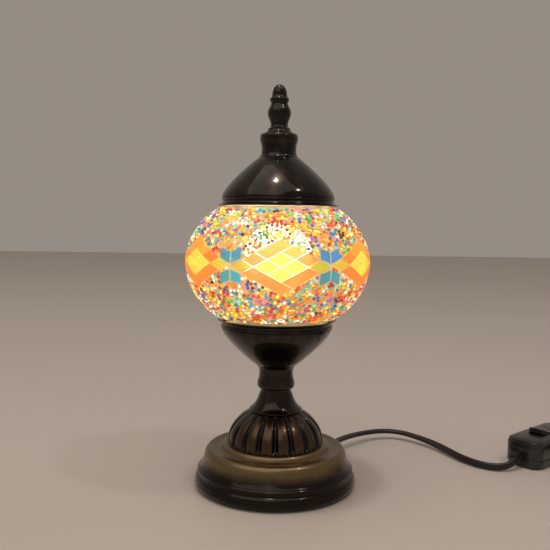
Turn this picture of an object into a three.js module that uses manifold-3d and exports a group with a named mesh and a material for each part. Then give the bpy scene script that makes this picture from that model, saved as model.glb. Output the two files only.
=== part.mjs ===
// A mosaic glass table lamp: a squashed glass ball, covered with coloured tiles and beads, stands in a
// spun brass cup on a turned stem and a stepped, weighted base. A second cup, turned over, closes the
// ball and carries a finial. A small screw bulb lights it, and a switch sits in its flat cord.
// Units are millimetres, +Z is up, and the origin is the middle of the felt under the base.
import * as THREE from "three";
import { mergeVertices } from "three/addons/utils/BufferGeometryUtils.js";
import Module from "manifold-3d";

const wasm = await Module();
wasm.setup();

// ---------------------------------------------------------------- driving dimensions

const fitGap = 0.3; // between pieces that touch
const bigSides = 32; // flats round the large turned pieces
const middleSides = 24;
const smallSides = 12;
const sheet = 1.0; // wall of the spun brass shells

const baseRadius = 53.2; // over the rolled rim
const baseHeight = 28.4; // table to the dome's seat
const rimRoll = 3.5; // radius of the rolled rim
const rimLift = 0.6; // rim above the table
const shoulderInset = 6.3; // rim to shoulder
const feltThickness = 1.2;
const coverThickness = 1.0;
const weightThickness = 8.8;

const domeRadius = 31.3;
const domeHeight = 20.9;
const domeCurve = 23; // half height of the ellipse that the dome follows
const fluteCount = 18;
const fluteDepth = 1.1;

const coneRadius = 17.5; // skirt over the dome
const neckRadius = 10.1;
const coneHeight = 14.4;

const collarRadius = 12.3;
const collarWaist = 11.2;
const collarHeight = 14.9;

const cupRadius = 36.6;
const cupHeight = 31.1;
const lipOverhang = 2.3; // flared lip beyond the cup's wall
const cupFootRadius = 12.7;

const globeRadius = 60; // over the mosaic
const globeHalfHeight = 47; // of the whole squashed ball, over the mosaic
const mosaicThickness = 1.9;
const groutBed = 0.45; // between the mosaic and the glass
const glassThickness = 2.5;
const glassNeckWall = 2.5;
const glassNeckLength = 6.0; // neck that stands inside each cup
const medallionCount = 6;
const medallionHalfHeight = 17;
const gasketThickness = 2.4;

const rodRadius = 5; // M10 x 1 tube that holds the stand together
const rodBore = 3.6;
const rodClearance = 0.4;
const nutAcrossFlats = 14;
const nutThickness = 4;
const washerThickness = 1.5;
const washerRadius = 11;

const holderRadius = 13.6;
const holderBodyHeight = 24.3;
const holderBaseHeight = 12;
const bulbRadius = 22.5;
const bulbCapRadius = 6.9; // E14 screw
const bulbWall = 0.8;

const finialHeight = 31.0;
const studRadius = 3;
const studNutAcrossFlats = 10;

const cordWidth = 5.2; // flat twin cord, over its wide way
const reliefLength = 22;
const exitAngle = THREE.MathUtils.degToRad(55); // from +X, behind the base
const exitHeight = 8.2;

const switchLength = 62;
const switchWidth = 28;
const switchHeight = 20.5;
const switchSplit = 7; // height of the seam between its shells
const switchWall = 1.8;
const switchAngle = THREE.MathUtils.degToRad(42);
const switchEntry = new THREE.Vector3(176, 36.5, 0);
const rockerLength = 21;
const rockerWidth = 11.4;
const rockerTilt = THREE.MathUtils.degToRad(9);
const rockerPinRadius = 1;

const coilCentre = new THREE.Vector2(274, 67.6);
const coilRadius = 27; // middle of the turns
const coilTurnsWide = 3;
const coilTurnsHigh = 3;
const tieThickness = 0.9;

const plugWidth = 35.3;
const plugThickness = 13.7;
const plugBodyLength = 26;
const plugAngle = THREE.MathUtils.degToRad(225);
const plugRun = 35.5; // cord between the coil and the plug
const pinRadius = 2;
const pinLength = 19;
const pinSpacing = 19;

// ---------------------------------------------------------------- heights up the stack

const rodHole = rodRadius + rodClearance;
const domeFoot = baseHeight + fitGap;
const domeTop = domeFoot + domeHeight;
const coneFoot = domeTop + fitGap;
const collarFoot = coneFoot + coneHeight + fitGap;
const cupFoot = collarFoot + collarHeight + fitGap;
const cupRim = cupFoot + cupHeight;
const lipRadius = cupRadius + lipOverhang;
const mosaicMouth = ellipseHeight(lipRadius - 2 * fitGap, globeRadius, globeHalfHeight);
const globeCentre = cupRim + fitGap + mosaicMouth;
const capRim = globeCentre + mosaicMouth + fitGap;
const capTop = capRim + cupHeight;
const capCollarFoot = capTop + fitGap;
const finialFoot = capCollarFoot + collarHeight + fitGap;

const cupFloor = cupFoot + sheet;
const upperNutFoot = cupFloor + fitGap;
const holderFoot = upperNutFoot + nutThickness + fitGap;
const holderBodyFoot = holderFoot + holderBaseHeight + fitGap;
const holderFloorTop = holderBodyFoot + 3.7;
const holderTop = holderBodyFoot + holderBodyHeight;
const bulbTip = holderFloorTop + 4.2;
const bulbCapFoot = bulbTip + 2.6;
const bulbNeck = bulbCapFoot + 17;
const bulbCentre = bulbNeck + 25.2;

// ---------------------------------------------------------------- helpers

// Height on an ellipse of half axes a, across, and c, up, where its radius is r.
function ellipseHeight(r, a, c) {
  return c * Math.sqrt(1 - (r / a) ** 2);
}

// A solid turned about +Z from an outline of radius against height, drawn anticlockwise.
function turned(outline, sides, steps = 2) {
  return new THREE.LatheGeometry(outline.getPoints(steps), sides).rotateX(Math.PI / 2);
}

// An open outline with straight sides through the given corners.
function cornered(corners) {
  return new THREE.Path(corners.map(([x, y]) => new THREE.Vector2(x, y)));
}

function polygon(corners) {
  const outline = cornered(corners);
  outline.closePath();
  return outline;
}

// A solid of revolution whose outline starts and ends on the axis.
function turnedOnAxis(corners, sides = smallSides) {
  return turned(cornered(corners), sides);
}

// A ring of rectangular section.
function ring(inner, outer, low, high, sides) {
  return turned(polygon([[inner, low], [outer, low], [outer, high], [inner, high]]), sides);
}

// A plain rod standing on z = low.
function post(radius, low, high, sides = smallSides) {
  const height = high - low;
  return new THREE.CylinderGeometry(radius, radius, height, sides)
    .rotateX(Math.PI / 2)
    .translate(0, 0, low + height / 2);
}

function box(width, depth, height) {
  return new THREE.BoxGeometry(width, depth, height);
}

// A rectangle with round corners, centred on the origin.
function roundedRectangle(length, width, corner) {
  const x = length / 2 - corner;
  const y = width / 2 - corner;
  const shape = new THREE.Shape();
  shape.absarc(x, y, corner, 0, Math.PI / 2);
  shape.absarc(-x, y, corner, Math.PI / 2, Math.PI);
  shape.absarc(-x, -y, corner, Math.PI, 1.5 * Math.PI);
  shape.absarc(x, -y, corner, 1.5 * Math.PI, 2 * Math.PI);
  shape.closePath();
  return shape;
}

// The outline of a bent strip of even thickness along a line of points.
function stripShape(line, thickness) {
  const points = line.map(([x, y]) => new THREE.Vector2(x, y));
  const side = points.map((point, i) => {
    const before = points[Math.max(i - 1, 0)];
    const after = points[Math.min(i + 1, points.length - 1)];
    const along = after.clone().sub(before).normalize();
    return new THREE.Vector2(-along.y, along.x).multiplyScalar(thickness / 2);
  });
  const left = points.map((point, i) => point.clone().add(side[i]));
  const right = points.map((point, i) => point.clone().sub(side[i])).reverse();
  return new THREE.Shape([...right, ...left]);
}

// A strip bent in the XZ plane and width wide along Y.
function bentStrip(line, thickness, width) {
  return new THREE.ExtrudeGeometry(stripShape(line, thickness), { depth: width, bevelEnabled: false })
    .translate(0, 0, -width / 2)
    .rotateX(Math.PI / 2);
}

// A tube of round section along a smooth line of points.
function tubeAlong(points, radius, steps, sides = 8) {
  const route = new THREE.CatmullRomCurve3(points.map((p) => new THREE.Vector3(...p)));
  const section = new THREE.Shape();
  for (let i = 0; i < sides; i += 1) {
    const angle = (2 * Math.PI * i) / sides;
    const [x, y] = [radius * Math.cos(angle), radius * Math.sin(angle)];
    if (i === 0) section.moveTo(x, y);
    else section.lineTo(x, y);
  }
  return new THREE.ExtrudeGeometry(section, { steps, extrudePath: route, bevelEnabled: false });
}

function toSolid(geometry) {
  const bare = geometry.clone();
  bare.deleteAttribute("normal");
  bare.deleteAttribute("uv");
  const merged = mergeVertices(bare, 1e-4);
  const index = merged.index.array;
  const triangles = [];
  for (let i = 0; i < index.length; i += 3) {
    const [a, b, c] = [index[i], index[i + 1], index[i + 2]];
    if (a !== b && b !== c && c !== a) triangles.push(a, b, c);
  }
  return new wasm.Manifold(
    new wasm.Mesh({
      numProp: 3,
      vertProperties: merged.attributes.position.array,
      triVerts: new Uint32Array(triangles),
    }),
  );
}

function toGeometry(solid) {
  const made = solid.getMesh();
  const geometry = new THREE.BufferGeometry();
  geometry.setAttribute("position", new THREE.BufferAttribute(made.vertProperties, 3));
  geometry.setIndex(new THREE.BufferAttribute(made.triVerts, 1));
  geometry.computeVertexNormals();
  return geometry;
}

function cut(geometry, ...tools) {
  return toGeometry(tools.reduce((solid, tool) => solid.subtract(toSolid(tool)), toSolid(geometry)));
}

function join(geometry, ...others) {
  return toGeometry(others.reduce((solid, other) => solid.add(toSolid(other)), toSolid(geometry)));
}

function common(geometry, other) {
  return toGeometry(toSolid(geometry).intersect(toSolid(other)));
}

function hexNut(acrossFlats, hole, low, thickness) {
  const corner = acrossFlats / 2 / Math.cos(Math.PI / 6);
  return cut(post(corner, low, low + thickness, 6), post(hole, low - 1, low + thickness + 1));
}

const looks = {
  bronze: { color: 0x1c1610, roughness: 0.22, metalness: 0.9 },
  antiqueBrass: { color: 0x5d4a28, roughness: 0.35, metalness: 0.9 },
  iron: { color: 0x3a3a3c, roughness: 0.8, metalness: 0.6 },
  steel: { color: 0x9a9a9a, roughness: 0.4, metalness: 0.9 },
  brass: { color: 0xb08d3c, roughness: 0.35, metalness: 0.9 },
  felt: { color: 0x1e3324, roughness: 1, metalness: 0 },
  rubber: { color: 0x17120f, roughness: 0.7, metalness: 0 },
  cordSheath: { color: 0x1d100a, roughness: 0.45, metalness: 0 },
  plastic: { color: 0x0c0a08, roughness: 0.25, metalness: 0 },
  thermoset: { color: 0x151210, roughness: 0.5, metalness: 0 },
  glass: { color: 0xe9e6dc, roughness: 0.1, metalness: 0, transparent: true, opacity: 0.4 },
  bulbGlass: { color: 0xfff1d6, roughness: 0.2, metalness: 0, transparent: true, opacity: 0.6 },
  beads: { color: 0xc99a52, roughness: 0.35, metalness: 0 },
  tiles: { color: 0xe8852a, roughness: 0.2, metalness: 0 },
  filament: { color: 0xffb45a, roughness: 0.6, metalness: 0.4 },
};

function addPart(group, name, geometry, look) {
  const mesh = new THREE.Mesh(geometry, new THREE.MeshStandardMaterial(looks[look]));
  mesh.name = name;
  group.add(mesh);
}

const lamp = new THREE.Group();
const stand = new THREE.Group();
const globe = new THREE.Group();
const bulb = new THREE.Group();
const cap = new THREE.Group();
const cordSet = new THREE.Group();
lamp.add(stand, globe, bulb, cap, cordSet);

// ---------------------------------------------------------------- base

const shoulder = baseRadius - shoulderInset;
const seatRadius = domeRadius + 1.3;
const dip = baseHeight - 3.3; // trough between shoulder and seat ring
const rimCentre = new THREE.Vector2(baseRadius - rimRoll, rimLift + rimRoll);
const rollOpen = 1.9; // radians below the horizontal where the roll ends
const rollTop = 0.5;

function baseShell() {
  const outline = new THREE.Path();
  outline.absarc(rimCentre.x, rimCentre.y, rimRoll, -rollOpen, rollTop);
  outline.lineTo(baseRadius - 1.3, 8.6);
  outline.lineTo(baseRadius - 2.3, 9.3);
  outline.lineTo(baseRadius - 1.9, 10.2);
  outline.lineTo(baseRadius - 2.0, 12.3);
  outline.lineTo(baseRadius - 3.3, 13.4);
  outline.quadraticCurveTo(shoulder + 0.8, 16, shoulder, baseHeight - 8);
  outline.bezierCurveTo(shoulder - 0.4, dip - 2, shoulder - 1.6, dip + 0.6, shoulder - 4, dip + 0.5);
  outline.quadraticCurveTo(seatRadius + 5.5, dip - 1, seatRadius + 2.8, dip + 0.4);
  outline.quadraticCurveTo(seatRadius + 2, baseHeight, seatRadius, baseHeight);
  outline.lineTo(rodHole, baseHeight);
  outline.lineTo(rodHole, baseHeight - sheet);
  outline.lineTo(seatRadius + 0.4, baseHeight - sheet);
  outline.lineTo(seatRadius + 2.4, dip - sheet);
  outline.lineTo(shoulder - 4, dip - 1.3 * sheet);
  outline.lineTo(shoulder - 1.5, dip - 5);
  outline.lineTo(baseRadius - 4.6, 13);
  outline.lineTo(baseRadius - 3.4, 9.6);
  const inner = rimRoll - sheet;
  outline.absarc(rimCentre.x, rimCentre.y, inner, rollTop, -rollOpen, true);
  outline.closePath();
  const neckHole = cordWidth / 2 + 1.2;
  const hole = post(neckHole, baseRadius - 8, baseRadius + 4)
    .rotateY(Math.PI / 2)
    .translate(0, 0, exitHeight)
    .rotateZ(exitAngle);
  return cut(turned(outline, bigSides), hole);
}

const coverFoot = feltThickness + fitGap;
const coverRadius = baseRadius - 5.6;
const weightTop = dip - 1.5 * sheet - fitGap;
const weightFoot = weightTop - weightThickness;
const lowerWasherFoot = weightFoot - fitGap - washerThickness;
const lowerNutFoot = lowerWasherFoot - fitGap - nutThickness;
const rodFoot = lowerNutFoot;
const rodTop = holderFoot + 7;
const weightRadius = shoulder - 8.5;

addPart(stand, "base_shell", baseShell(), "antiqueBrass");
addPart(stand, "felt_pad", post(coverRadius - 2, 0, feltThickness, bigSides), "felt");
addPart(stand, "base_cover", post(coverRadius, coverFoot, coverFoot + coverThickness, bigSides), "steel");
addPart(stand, "base_weight", ring(rodHole, weightRadius, weightFoot, weightTop, bigSides), "iron");
addPart(
  stand,
  "rod_washer",
  ring(rodHole, washerRadius, lowerWasherFoot, lowerWasherFoot + washerThickness, middleSides),
  "steel",
);
addPart(stand, "rod_nut_lower", hexNut(nutAcrossFlats, rodHole, lowerNutFoot, nutThickness), "steel");
addPart(stand, "threaded_rod", ring(rodBore, rodRadius, rodFoot, rodTop, smallSides), "steel");

// ---------------------------------------------------------------- stem

// The dome is an ellipse turned about Z, then pinched into a groove between each two ribs.
function flutedDome() {
  const topRadius = domeRadius * Math.sqrt(1 - ((domeHeight - 1.5) / domeCurve) ** 2);
  const start = Math.asin((domeHeight - 1.5) / domeCurve);
  const curveFoot = domeFoot + 1.5;
  const outline = new THREE.Path();
  outline.moveTo(domeRadius - sheet, domeFoot);
  outline.lineTo(domeRadius, domeFoot);
  outline.absellipse(0, curveFoot, domeRadius, domeCurve, 0, start);
  outline.lineTo(rodHole, domeTop);
  outline.lineTo(rodHole, domeTop - sheet);
  outline.lineTo(topRadius - 1.5 * sheet, domeTop - sheet);
  const inner = Math.asin((domeHeight - 1.5 - sheet) / domeCurve) - 0.06;
  outline.absellipse(0, curveFoot, domeRadius - sheet, domeCurve - 0.5 * sheet, inner, 0, true);
  outline.closePath();
  const stepsPerFlute = 3;
  const geometry = turned(outline, fluteCount * stepsPerFlute);
  const position = geometry.attributes.position;
  for (let i = 0; i < position.count; i += 1) {
    const [x, y, z] = [position.getX(i), position.getY(i), position.getZ(i)];
    const turn = (Math.atan2(x, -y) / (2 * Math.PI)) * fluteCount;
    const groove = 1 - Math.abs(Math.sin(Math.PI * turn));
    const height = THREE.MathUtils.clamp((z - domeFoot) / domeHeight, 0, 1);
    const fade = Math.min(1, 6 * height, 8 * (1 - height));
    const scale = 1 - (fluteDepth / domeRadius) * groove * Math.max(fade, 0);
    position.setXY(i, x * scale, y * scale);
  }
  return geometry;
}

function neckCone() {
  const wall = 1.5 * sheet;
  const outline = new THREE.Path();
  outline.moveTo(coneRadius - wall, 0);
  outline.lineTo(coneRadius, 0);
  outline.lineTo(coneRadius, 1);
  outline.bezierCurveTo(neckRadius + 2.5, 4.4, neckRadius + 2.1, 8, neckRadius, coneHeight - 1.3);
  outline.lineTo(neckRadius, coneHeight);
  outline.lineTo(rodHole, coneHeight);
  outline.lineTo(rodHole, coneHeight - wall);
  outline.lineTo(neckRadius - wall, coneHeight - wall);
  outline.bezierCurveTo(neckRadius + 0.6, 8, neckRadius + 1, 4, coneRadius - wall, 0.6);
  outline.closePath();
  return turned(outline, middleSides, 3).translate(0, 0, coneFoot);
}

// A turned spacer with a round shoulder at its foot and a flare at its top.
function collar(hole) {
  const outline = new THREE.Path();
  outline.moveTo(hole, 0);
  outline.lineTo(collarRadius - 1.8, 0);
  outline.quadraticCurveTo(collarRadius - 0.1, 0.2, collarRadius, 2.2);
  outline.lineTo(collarRadius, 4.2);
  outline.quadraticCurveTo(collarWaist, 7, collarWaist, collarHeight - 4.6);
  outline.quadraticCurveTo(collarWaist, collarHeight - 1, cupFootRadius, collarHeight);
  outline.lineTo(hole, collarHeight);
  outline.closePath();
  return turned(outline, middleSides);
}

// The inside of a cup's wall, from under its bead to its floor.
const cupInside = new THREE.CubicBezierCurve(
  new THREE.Vector2(cupRadius - 0.1 - sheet, cupHeight - 5.5),
  new THREE.Vector2(cupRadius - 2, cupHeight - 12.6),
  new THREE.Vector2(cupFootRadius + 3.3, 3.4),
  new THREE.Vector2(cupFootRadius - 1, sheet),
);

// A spun cup standing on its foot, with a bead and a thin flared lip round its mouth.
function spunCup(hole) {
  const mouth = cupHeight;
  const { v0: insideTop, v1: upper, v2: lower, v3: insideFoot } = cupInside;
  const outline = new THREE.Path();
  outline.moveTo(hole, 0);
  outline.lineTo(cupFootRadius, 0);
  outline.bezierCurveTo(cupFootRadius + 3.3, 2, cupRadius - 1, mouth - 13, cupRadius - 0.1, mouth - 5.5);
  outline.lineTo(cupRadius, mouth - 3.7);
  outline.lineTo(cupRadius - 0.4, mouth - 1.9);
  outline.lineTo(lipRadius, mouth - 0.6);
  outline.lineTo(lipRadius, mouth);
  outline.lineTo(lipRadius - 0.9, mouth);
  outline.lineTo(cupRadius - 1.4 * sheet, mouth - 1.5);
  outline.lineTo(insideTop.x, insideTop.y);
  outline.bezierCurveTo(upper.x, upper.y, lower.x, lower.y, insideFoot.x, insideFoot.y);
  outline.lineTo(hole, sheet);
  outline.closePath();
  return turned(outline, bigSides, 4);
}

addPart(stand, "fluted_dome", flutedDome(), "bronze");
addPart(stand, "neck_cone", neckCone(), "bronze");
addPart(stand, "neck_collar", collar(rodHole).translate(0, 0, collarFoot), "bronze");
addPart(stand, "lower_cup", spunCup(rodHole).translate(0, 0, cupFoot), "bronze");
addPart(stand, "rod_nut_upper", hexNut(nutAcrossFlats, rodHole, upperNutFoot, nutThickness), "steel");

const mosaicBack = mosaicThickness + groutBed;
const glassRadius = globeRadius - mosaicBack;
const glassHalfHeight = globeHalfHeight - mosaicBack;
// The neck runs straight down from where the mosaic ends.
const glassNeckRadius = ellipseHeight(mosaicMouth, glassHalfHeight, glassRadius) - fitGap;
const glassNeckInner = glassNeckRadius - glassNeckWall;
const glassEnd = mosaicMouth + glassNeckLength;

// A rubber ring under the neck, as wide as the cup's wall lets it be.
const gasketTop = globeCentre - glassEnd - fitGap;
const gasketFoot = gasketTop - gasketThickness;
const wallAtGasket = cupInside.getPoints(60).find((point) => point.y <= gasketFoot - cupFoot).x;
const gasketRadius = wallAtGasket * Math.cos(Math.PI / bigSides) - 2 * fitGap; // inside the cup's flats
addPart(
  stand,
  "globe_gasket",
  ring(glassNeckInner + fitGap, gasketRadius, gasketFoot, gasketTop, middleSides),
  "rubber",
);

// ---------------------------------------------------------------- lamp holder

const terminalReach = 6.5; // from the axis to each terminal screw
const terminalHole = 1.8;

function holderBase() {
  const top = holderBaseHeight;
  const outline = polygon([
    [rodHole, 0], [holderRadius - 3.6, 0], [holderRadius - 0.3, 4.6], [holderRadius - 0.3, top],
    [holderRadius - 1.6, top], [holderRadius - 1.6, 5.6], [holderRadius - 4.6, 3], [rodHole, 3],
  ]);
  return turned(outline, middleSides).translate(0, 0, holderFoot);
}

function holderBody() {
  const inner = bulbCapRadius + 2.7;
  const outline = polygon([
    [rodBore / 2, holderBodyFoot], [holderRadius, holderBodyFoot], [holderRadius, holderTop - 0.8],
    [holderRadius - 1, holderTop], [inner, holderTop], [inner, holderFloorTop],
    [rodBore / 2, holderFloorTop],
  ]);
  const holes = [-terminalReach, terminalReach].map((x) =>
    post(terminalHole, holderBodyFoot - 1, holderFloorTop + 1).translate(x, 0, 0),
  );
  return cut(turned(outline, middleSides), ...holes);
}

function terminalScrew() {
  return turnedOnAxis([
    [0, holderBodyFoot - 2.6], [2.4, holderBodyFoot - 2.6], [2.4, holderBodyFoot - fitGap],
    [1.5, holderBodyFoot - fitGap], [1.5, holderFloorTop - fitGap], [0, holderFloorTop - fitGap],
  ]);
}

const contactStrip = 0.6;
const stripZ = holderFloorTop + fitGap + contactStrip / 2;
const tongueZ = bulbTip - fitGap - contactStrip / 2;
const threadWall = 1.1;
const threadRadius = bulbCapRadius + 0.6;

addPart(stand, "holder_base", holderBase(), "thermoset");
addPart(stand, "holder_body", holderBody(), "thermoset");
addPart(
  stand,
  "screw_shell",
  ring(threadRadius, threadRadius + threadWall, holderFloorTop + 2, holderTop - 2.6, middleSides),
  "brass",
);
addPart(
  stand,
  "centre_contact",
  bentStrip([[-4.6, stripZ], [-2.4, stripZ], [-0.6, tongueZ], [2.6, tongueZ]], contactStrip, 3.4),
  "brass",
);
[-terminalReach, terminalReach].forEach((x, i) => {
  addPart(stand, `terminal_screw_${i + 1}`, terminalScrew().translate(x, 0, 0), "brass");
});

// ---------------------------------------------------------------- glass ball and mosaic

// The glass and the mosaic's back have the same flats, so the grout between them is even.
const mosaicBackTurn = Math.asin(mosaicMouth / (globeHalfHeight - mosaicThickness));

function globeGlass() {
  const innerRadius = glassRadius - glassThickness;
  const innerHalf = glassHalfHeight - glassThickness;
  const innerJoin = Math.asin(ellipseHeight(glassNeckInner, innerRadius, innerHalf) / innerHalf);
  const outline = new THREE.Path();
  outline.moveTo(glassNeckInner, -glassEnd);
  outline.lineTo(glassNeckRadius, -glassEnd);
  outline.absellipse(0, 0, glassRadius, glassHalfHeight, -mosaicBackTurn, mosaicBackTurn);
  outline.lineTo(glassNeckRadius, glassEnd);
  outline.lineTo(glassNeckInner, glassEnd);
  outline.absellipse(0, 0, innerRadius, innerHalf, innerJoin, -innerJoin, true);
  outline.closePath();
  return turned(outline, bigSides, 4).translate(0, 0, globeCentre);
}

function mosaicShell() {
  const innerRadius = globeRadius - mosaicThickness;
  const innerHalf = globeHalfHeight - mosaicThickness;
  const outer = Math.asin(mosaicMouth / globeHalfHeight);
  const outline = new THREE.Path();
  outline.absellipse(0, 0, globeRadius, globeHalfHeight, -outer, outer);
  outline.absellipse(0, 0, innerRadius, innerHalf, mosaicBackTurn, -mosaicBackTurn, true);
  outline.closePath();
  return turned(outline, bigSides, 4).translate(0, 0, globeCentre);
}

// A diamond bar that reaches out through the ball at one medallion, wider all round by grow.
function medallionBar(number, grow) {
  const halfAngle = Math.PI / medallionCount;
  const reach = globeRadius * Math.sin(halfAngle) - 1.6 + 1.6 * grow;
  const rise = medallionHalfHeight + grow;
  const diamond = new THREE.Shape();
  diamond.moveTo(reach, 0);
  diamond.lineTo(0, rise);
  diamond.lineTo(-reach, 0);
  diamond.lineTo(0, -rise);
  diamond.closePath();
  const inside = 0.6 * globeRadius;
  return new THREE.ExtrudeGeometry(diamond, { depth: globeRadius, bevelEnabled: false })
    .translate(0, 0, inside)
    .rotateX(Math.PI / 2)
    .rotateZ(2 * halfAngle * number)
    .translate(0, 0, globeCentre);
}

const mosaic = mosaicShell();
const openings = [];
for (let number = 0; number < medallionCount; number += 1) {
  addPart(globe, `tile_medallion_${number + 1}`, common(mosaic, medallionBar(number, 0)), "tiles");
  openings.push(medallionBar(number, fitGap));
}
addPart(globe, "bead_field", cut(mosaic, ...openings), "beads");
addPart(globe, "globe_glass", globeGlass(), "glass");

// ---------------------------------------------------------------- bulb

function bulbGlass() {
  const neck = bulbCapRadius + 1.5;
  const low = bulbNeck - bulbCentre;
  const join = -0.79; // where the neck runs into the ball, in radians below its middle
  const inner = bulbRadius - bulbWall;
  const outline = new THREE.Path();
  outline.absarc(0, 0, inner, Math.PI / 2, join, true);
  outline.quadraticCurveTo(neck - bulbWall + 0.6, low + 5, neck - bulbWall, low);
  outline.lineTo(neck, low);
  const [x, z] = [bulbRadius * Math.cos(join), bulbRadius * Math.sin(join)];
  outline.quadraticCurveTo(neck + 0.6, low + 5, x, z);
  outline.absarc(0, 0, bulbRadius, join, Math.PI / 2);
  return turned(outline, middleSides, 3).translate(0, 0, bulbCentre);
}

function bulbCap() {
  const r = bulbCapRadius;
  const top = bulbNeck - bulbCapFoot - fitGap;
  const outline = polygon([
    [r - 3.7, 0], [r - 0.9, 0.4], [r, 1.7], [r, top - 3], [r + 1.5, top - 1.3], [r + 1.5, top],
    [r + 0.7, top], [r - 0.7, top - 2.7], [r - 0.7, 2], [r - 3.7, 1.2],
  ]);
  return turned(outline, middleSides).translate(0, 0, bulbCapFoot);
}

function bulbStem() {
  return turnedOnAxis([[0, 0.2], [7.2, 0.2], [7.2, 0.8], [3, 3.2], [2.4, 11], [1.6, 13], [0, 13]])
    .translate(0, 0, bulbNeck);
}

function filament() {
  const foot = bulbNeck + 13.4;
  const middle = bulbCentre - 1;
  return tubeAlong(
    [
      [-1, 0, foot], [-5, 0, foot + 4.6], [-8, 0, middle], [-4, 0, middle + 2.5], [0, 0, middle + 0.5],
      [4, 0, middle + 2.5], [8, 0, middle], [5, 0, foot + 4.6], [1, 0, foot],
    ],
    0.4, 16, 6,
  );
}

addPart(bulb, "bulb_glass", bulbGlass(), "bulbGlass");
addPart(bulb, "bulb_cap", bulbCap(), "brass");
addPart(
  bulb,
  "bulb_insulator",
  turnedOnAxis([[0, bulbTip + 1.3], [3.5, bulbTip + 1.3], [5.6, bulbTip + 2.3], [0, bulbTip + 2.3]]),
  "thermoset",
);
addPart(
  bulb,
  "bulb_contact",
  turnedOnAxis([[0, bulbTip], [1.6, bulbTip], [2.4, bulbTip + 0.5], [2.4, bulbTip + 1], [0, bulbTip + 1]]),
  "brass",
);
addPart(bulb, "bulb_stem", bulbStem(), "glass");
addPart(bulb, "filament", filament(), "filament");

// ---------------------------------------------------------------- cap

const studHole = studRadius + 0.4;
const hubThickness = 1.2;
const hubTop = capTop - sheet - fitGap;
const hubFoot = hubTop - hubThickness;
const capNutThickness = 4;
const capNutFoot = hubFoot - fitGap - capNutThickness;
const finialHole = 8.8;

// A stamped steel spider: three arms run down inside the cap and spring lightly in the glass's neck.
function capSpider() {
  const legRadius = glassNeckInner - 1.2;
  const width = 7;
  const hub = ring(studHole, 9, hubFoot, hubTop, middleSides);
  const line = [
    [7.5, hubFoot + hubThickness / 2], [10.5, hubFoot + hubThickness / 2], [20, capTop - 10.6],
    [legRadius - 3.4, capRim + 13.6], [legRadius, capRim + 8], [legRadius, capRim - 4],
    [legRadius - 0.8, capRim - 7],
  ];
  const arms = [0, 1, 2].map((i) =>
    bentStrip(line, 0.9, width).rotateZ(Math.PI / 2 + (i * 2 * Math.PI) / 3),
  );
  return join(hub, ...arms);
}

function finial() {
  const outline = new THREE.Path();
  outline.moveTo(0, finialHole);
  outline.lineTo(studHole, finialHole);
  outline.lineTo(studHole, 0);
  outline.lineTo(8.8, 0);
  outline.lineTo(8.6, 0.9);
  outline.lineTo(7.3, 2.9);
  outline.splineThru([
    new THREE.Vector2(5.3, 7.1), new THREE.Vector2(6.4, 9.4), new THREE.Vector2(7.55, 12.7),
    new THREE.Vector2(6.8, 16.2), new THREE.Vector2(5.7, finialHeight - 11.4),
  ]);
  outline.lineTo(6, finialHeight - 9.6);
  outline.lineTo(5.9, finialHeight - 8.4);
  outline.lineTo(4.9, finialHeight - 7);
  outline.bezierCurveTo(4, finialHeight - 3, 3.2, finialHeight, 0, finialHeight);
  return turned(outline, middleSides).translate(0, 0, finialFoot);
}

addPart(cap, "cap_shell", spunCup(studHole).rotateX(Math.PI).translate(0, 0, capTop), "bronze");
addPart(
  cap,
  "cap_collar",
  collar(studHole).rotateX(Math.PI).translate(0, 0, capCollarFoot + collarHeight),
  "bronze",
);
addPart(cap, "finial", finial(), "bronze");
addPart(cap, "cap_stud", post(studRadius, capNutFoot - 1, finialFoot + finialHole - fitGap), "steel");
addPart(cap, "cap_nut", hexNut(studNutAcrossFlats, studHole, capNutFoot, capNutThickness), "steel");
addPart(cap, "cap_spider", capSpider(), "steel");

// ---------------------------------------------------------------- cord: exit and inner lead

const cordRadius = cordWidth / 2;
const leadRadius = 1.6;
const reliefOuter = baseRadius + 1; // where the tapered sleeve starts, outside the wall
const reliefEnd = reliefOuter + reliefLength - 1;
const reliefInner = baseRadius - 7.4;

// A rubber sleeve pushed through the wall: locking ring inside, neck in the hole, long taper outside.
function cordRelief() {
  const neck = cordRadius + 0.9;
  const sleeve = turnedOnAxis([
    [0, reliefInner], [neck + 0.9, reliefInner], [neck + 0.9, reliefInner + 1.4],
    [neck, reliefInner + 1.4], [neck, reliefOuter], [neck + 1.4, reliefOuter],
    [neck + 1.4, reliefOuter + 2], [cordRadius + 0.5, reliefEnd], [0, reliefEnd],
  ]);
  return sleeve.rotateY(Math.PI / 2).translate(0, 0, exitHeight).rotateZ(exitAngle);
}

const gripFoot = coverFoot + coverThickness + fitGap;
const gripHeight = 4.6;
const gripReach = 28; // from the axis
const leadHeight = gripFoot + gripHeight / 2;

function cordGrip() {
  const block = box(10, 12, gripHeight).translate(gripReach, 0, leadHeight);
  const passage = post(leadRadius + 0.4, gripReach - 8, gripReach + 8)
    .rotateY(Math.PI / 2)
    .translate(0, 0, leadHeight);
  return cut(block, passage).rotateZ(exitAngle);
}

function innerLead() {
  const route = [
    [reliefInner - fitGap, exitHeight], [reliefInner - 4, exitHeight - 0.6], [gripReach + 6, leadHeight],
    [gripReach, leadHeight], [gripReach - 8, leadHeight], [9, leadHeight], [3.2, leadHeight + 0.7],
    [0.4, leadHeight + 3.6], [0, rodFoot + 6], [0, rodFoot + 30], [0, rodTop - 10], [0, rodTop + 2],
  ];
  return tubeAlong(route.map(([out, up]) => [out, 0, up]), leadRadius, 26).rotateZ(exitAngle);
}

addPart(stand, "cord_relief", cordRelief(), "rubber");
addPart(stand, "cord_grip", cordGrip(), "thermoset");
addPart(stand, "inner_lead", innerLead(), "cordSheath");

// ---------------------------------------------------------------- cord: free lengths

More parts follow.
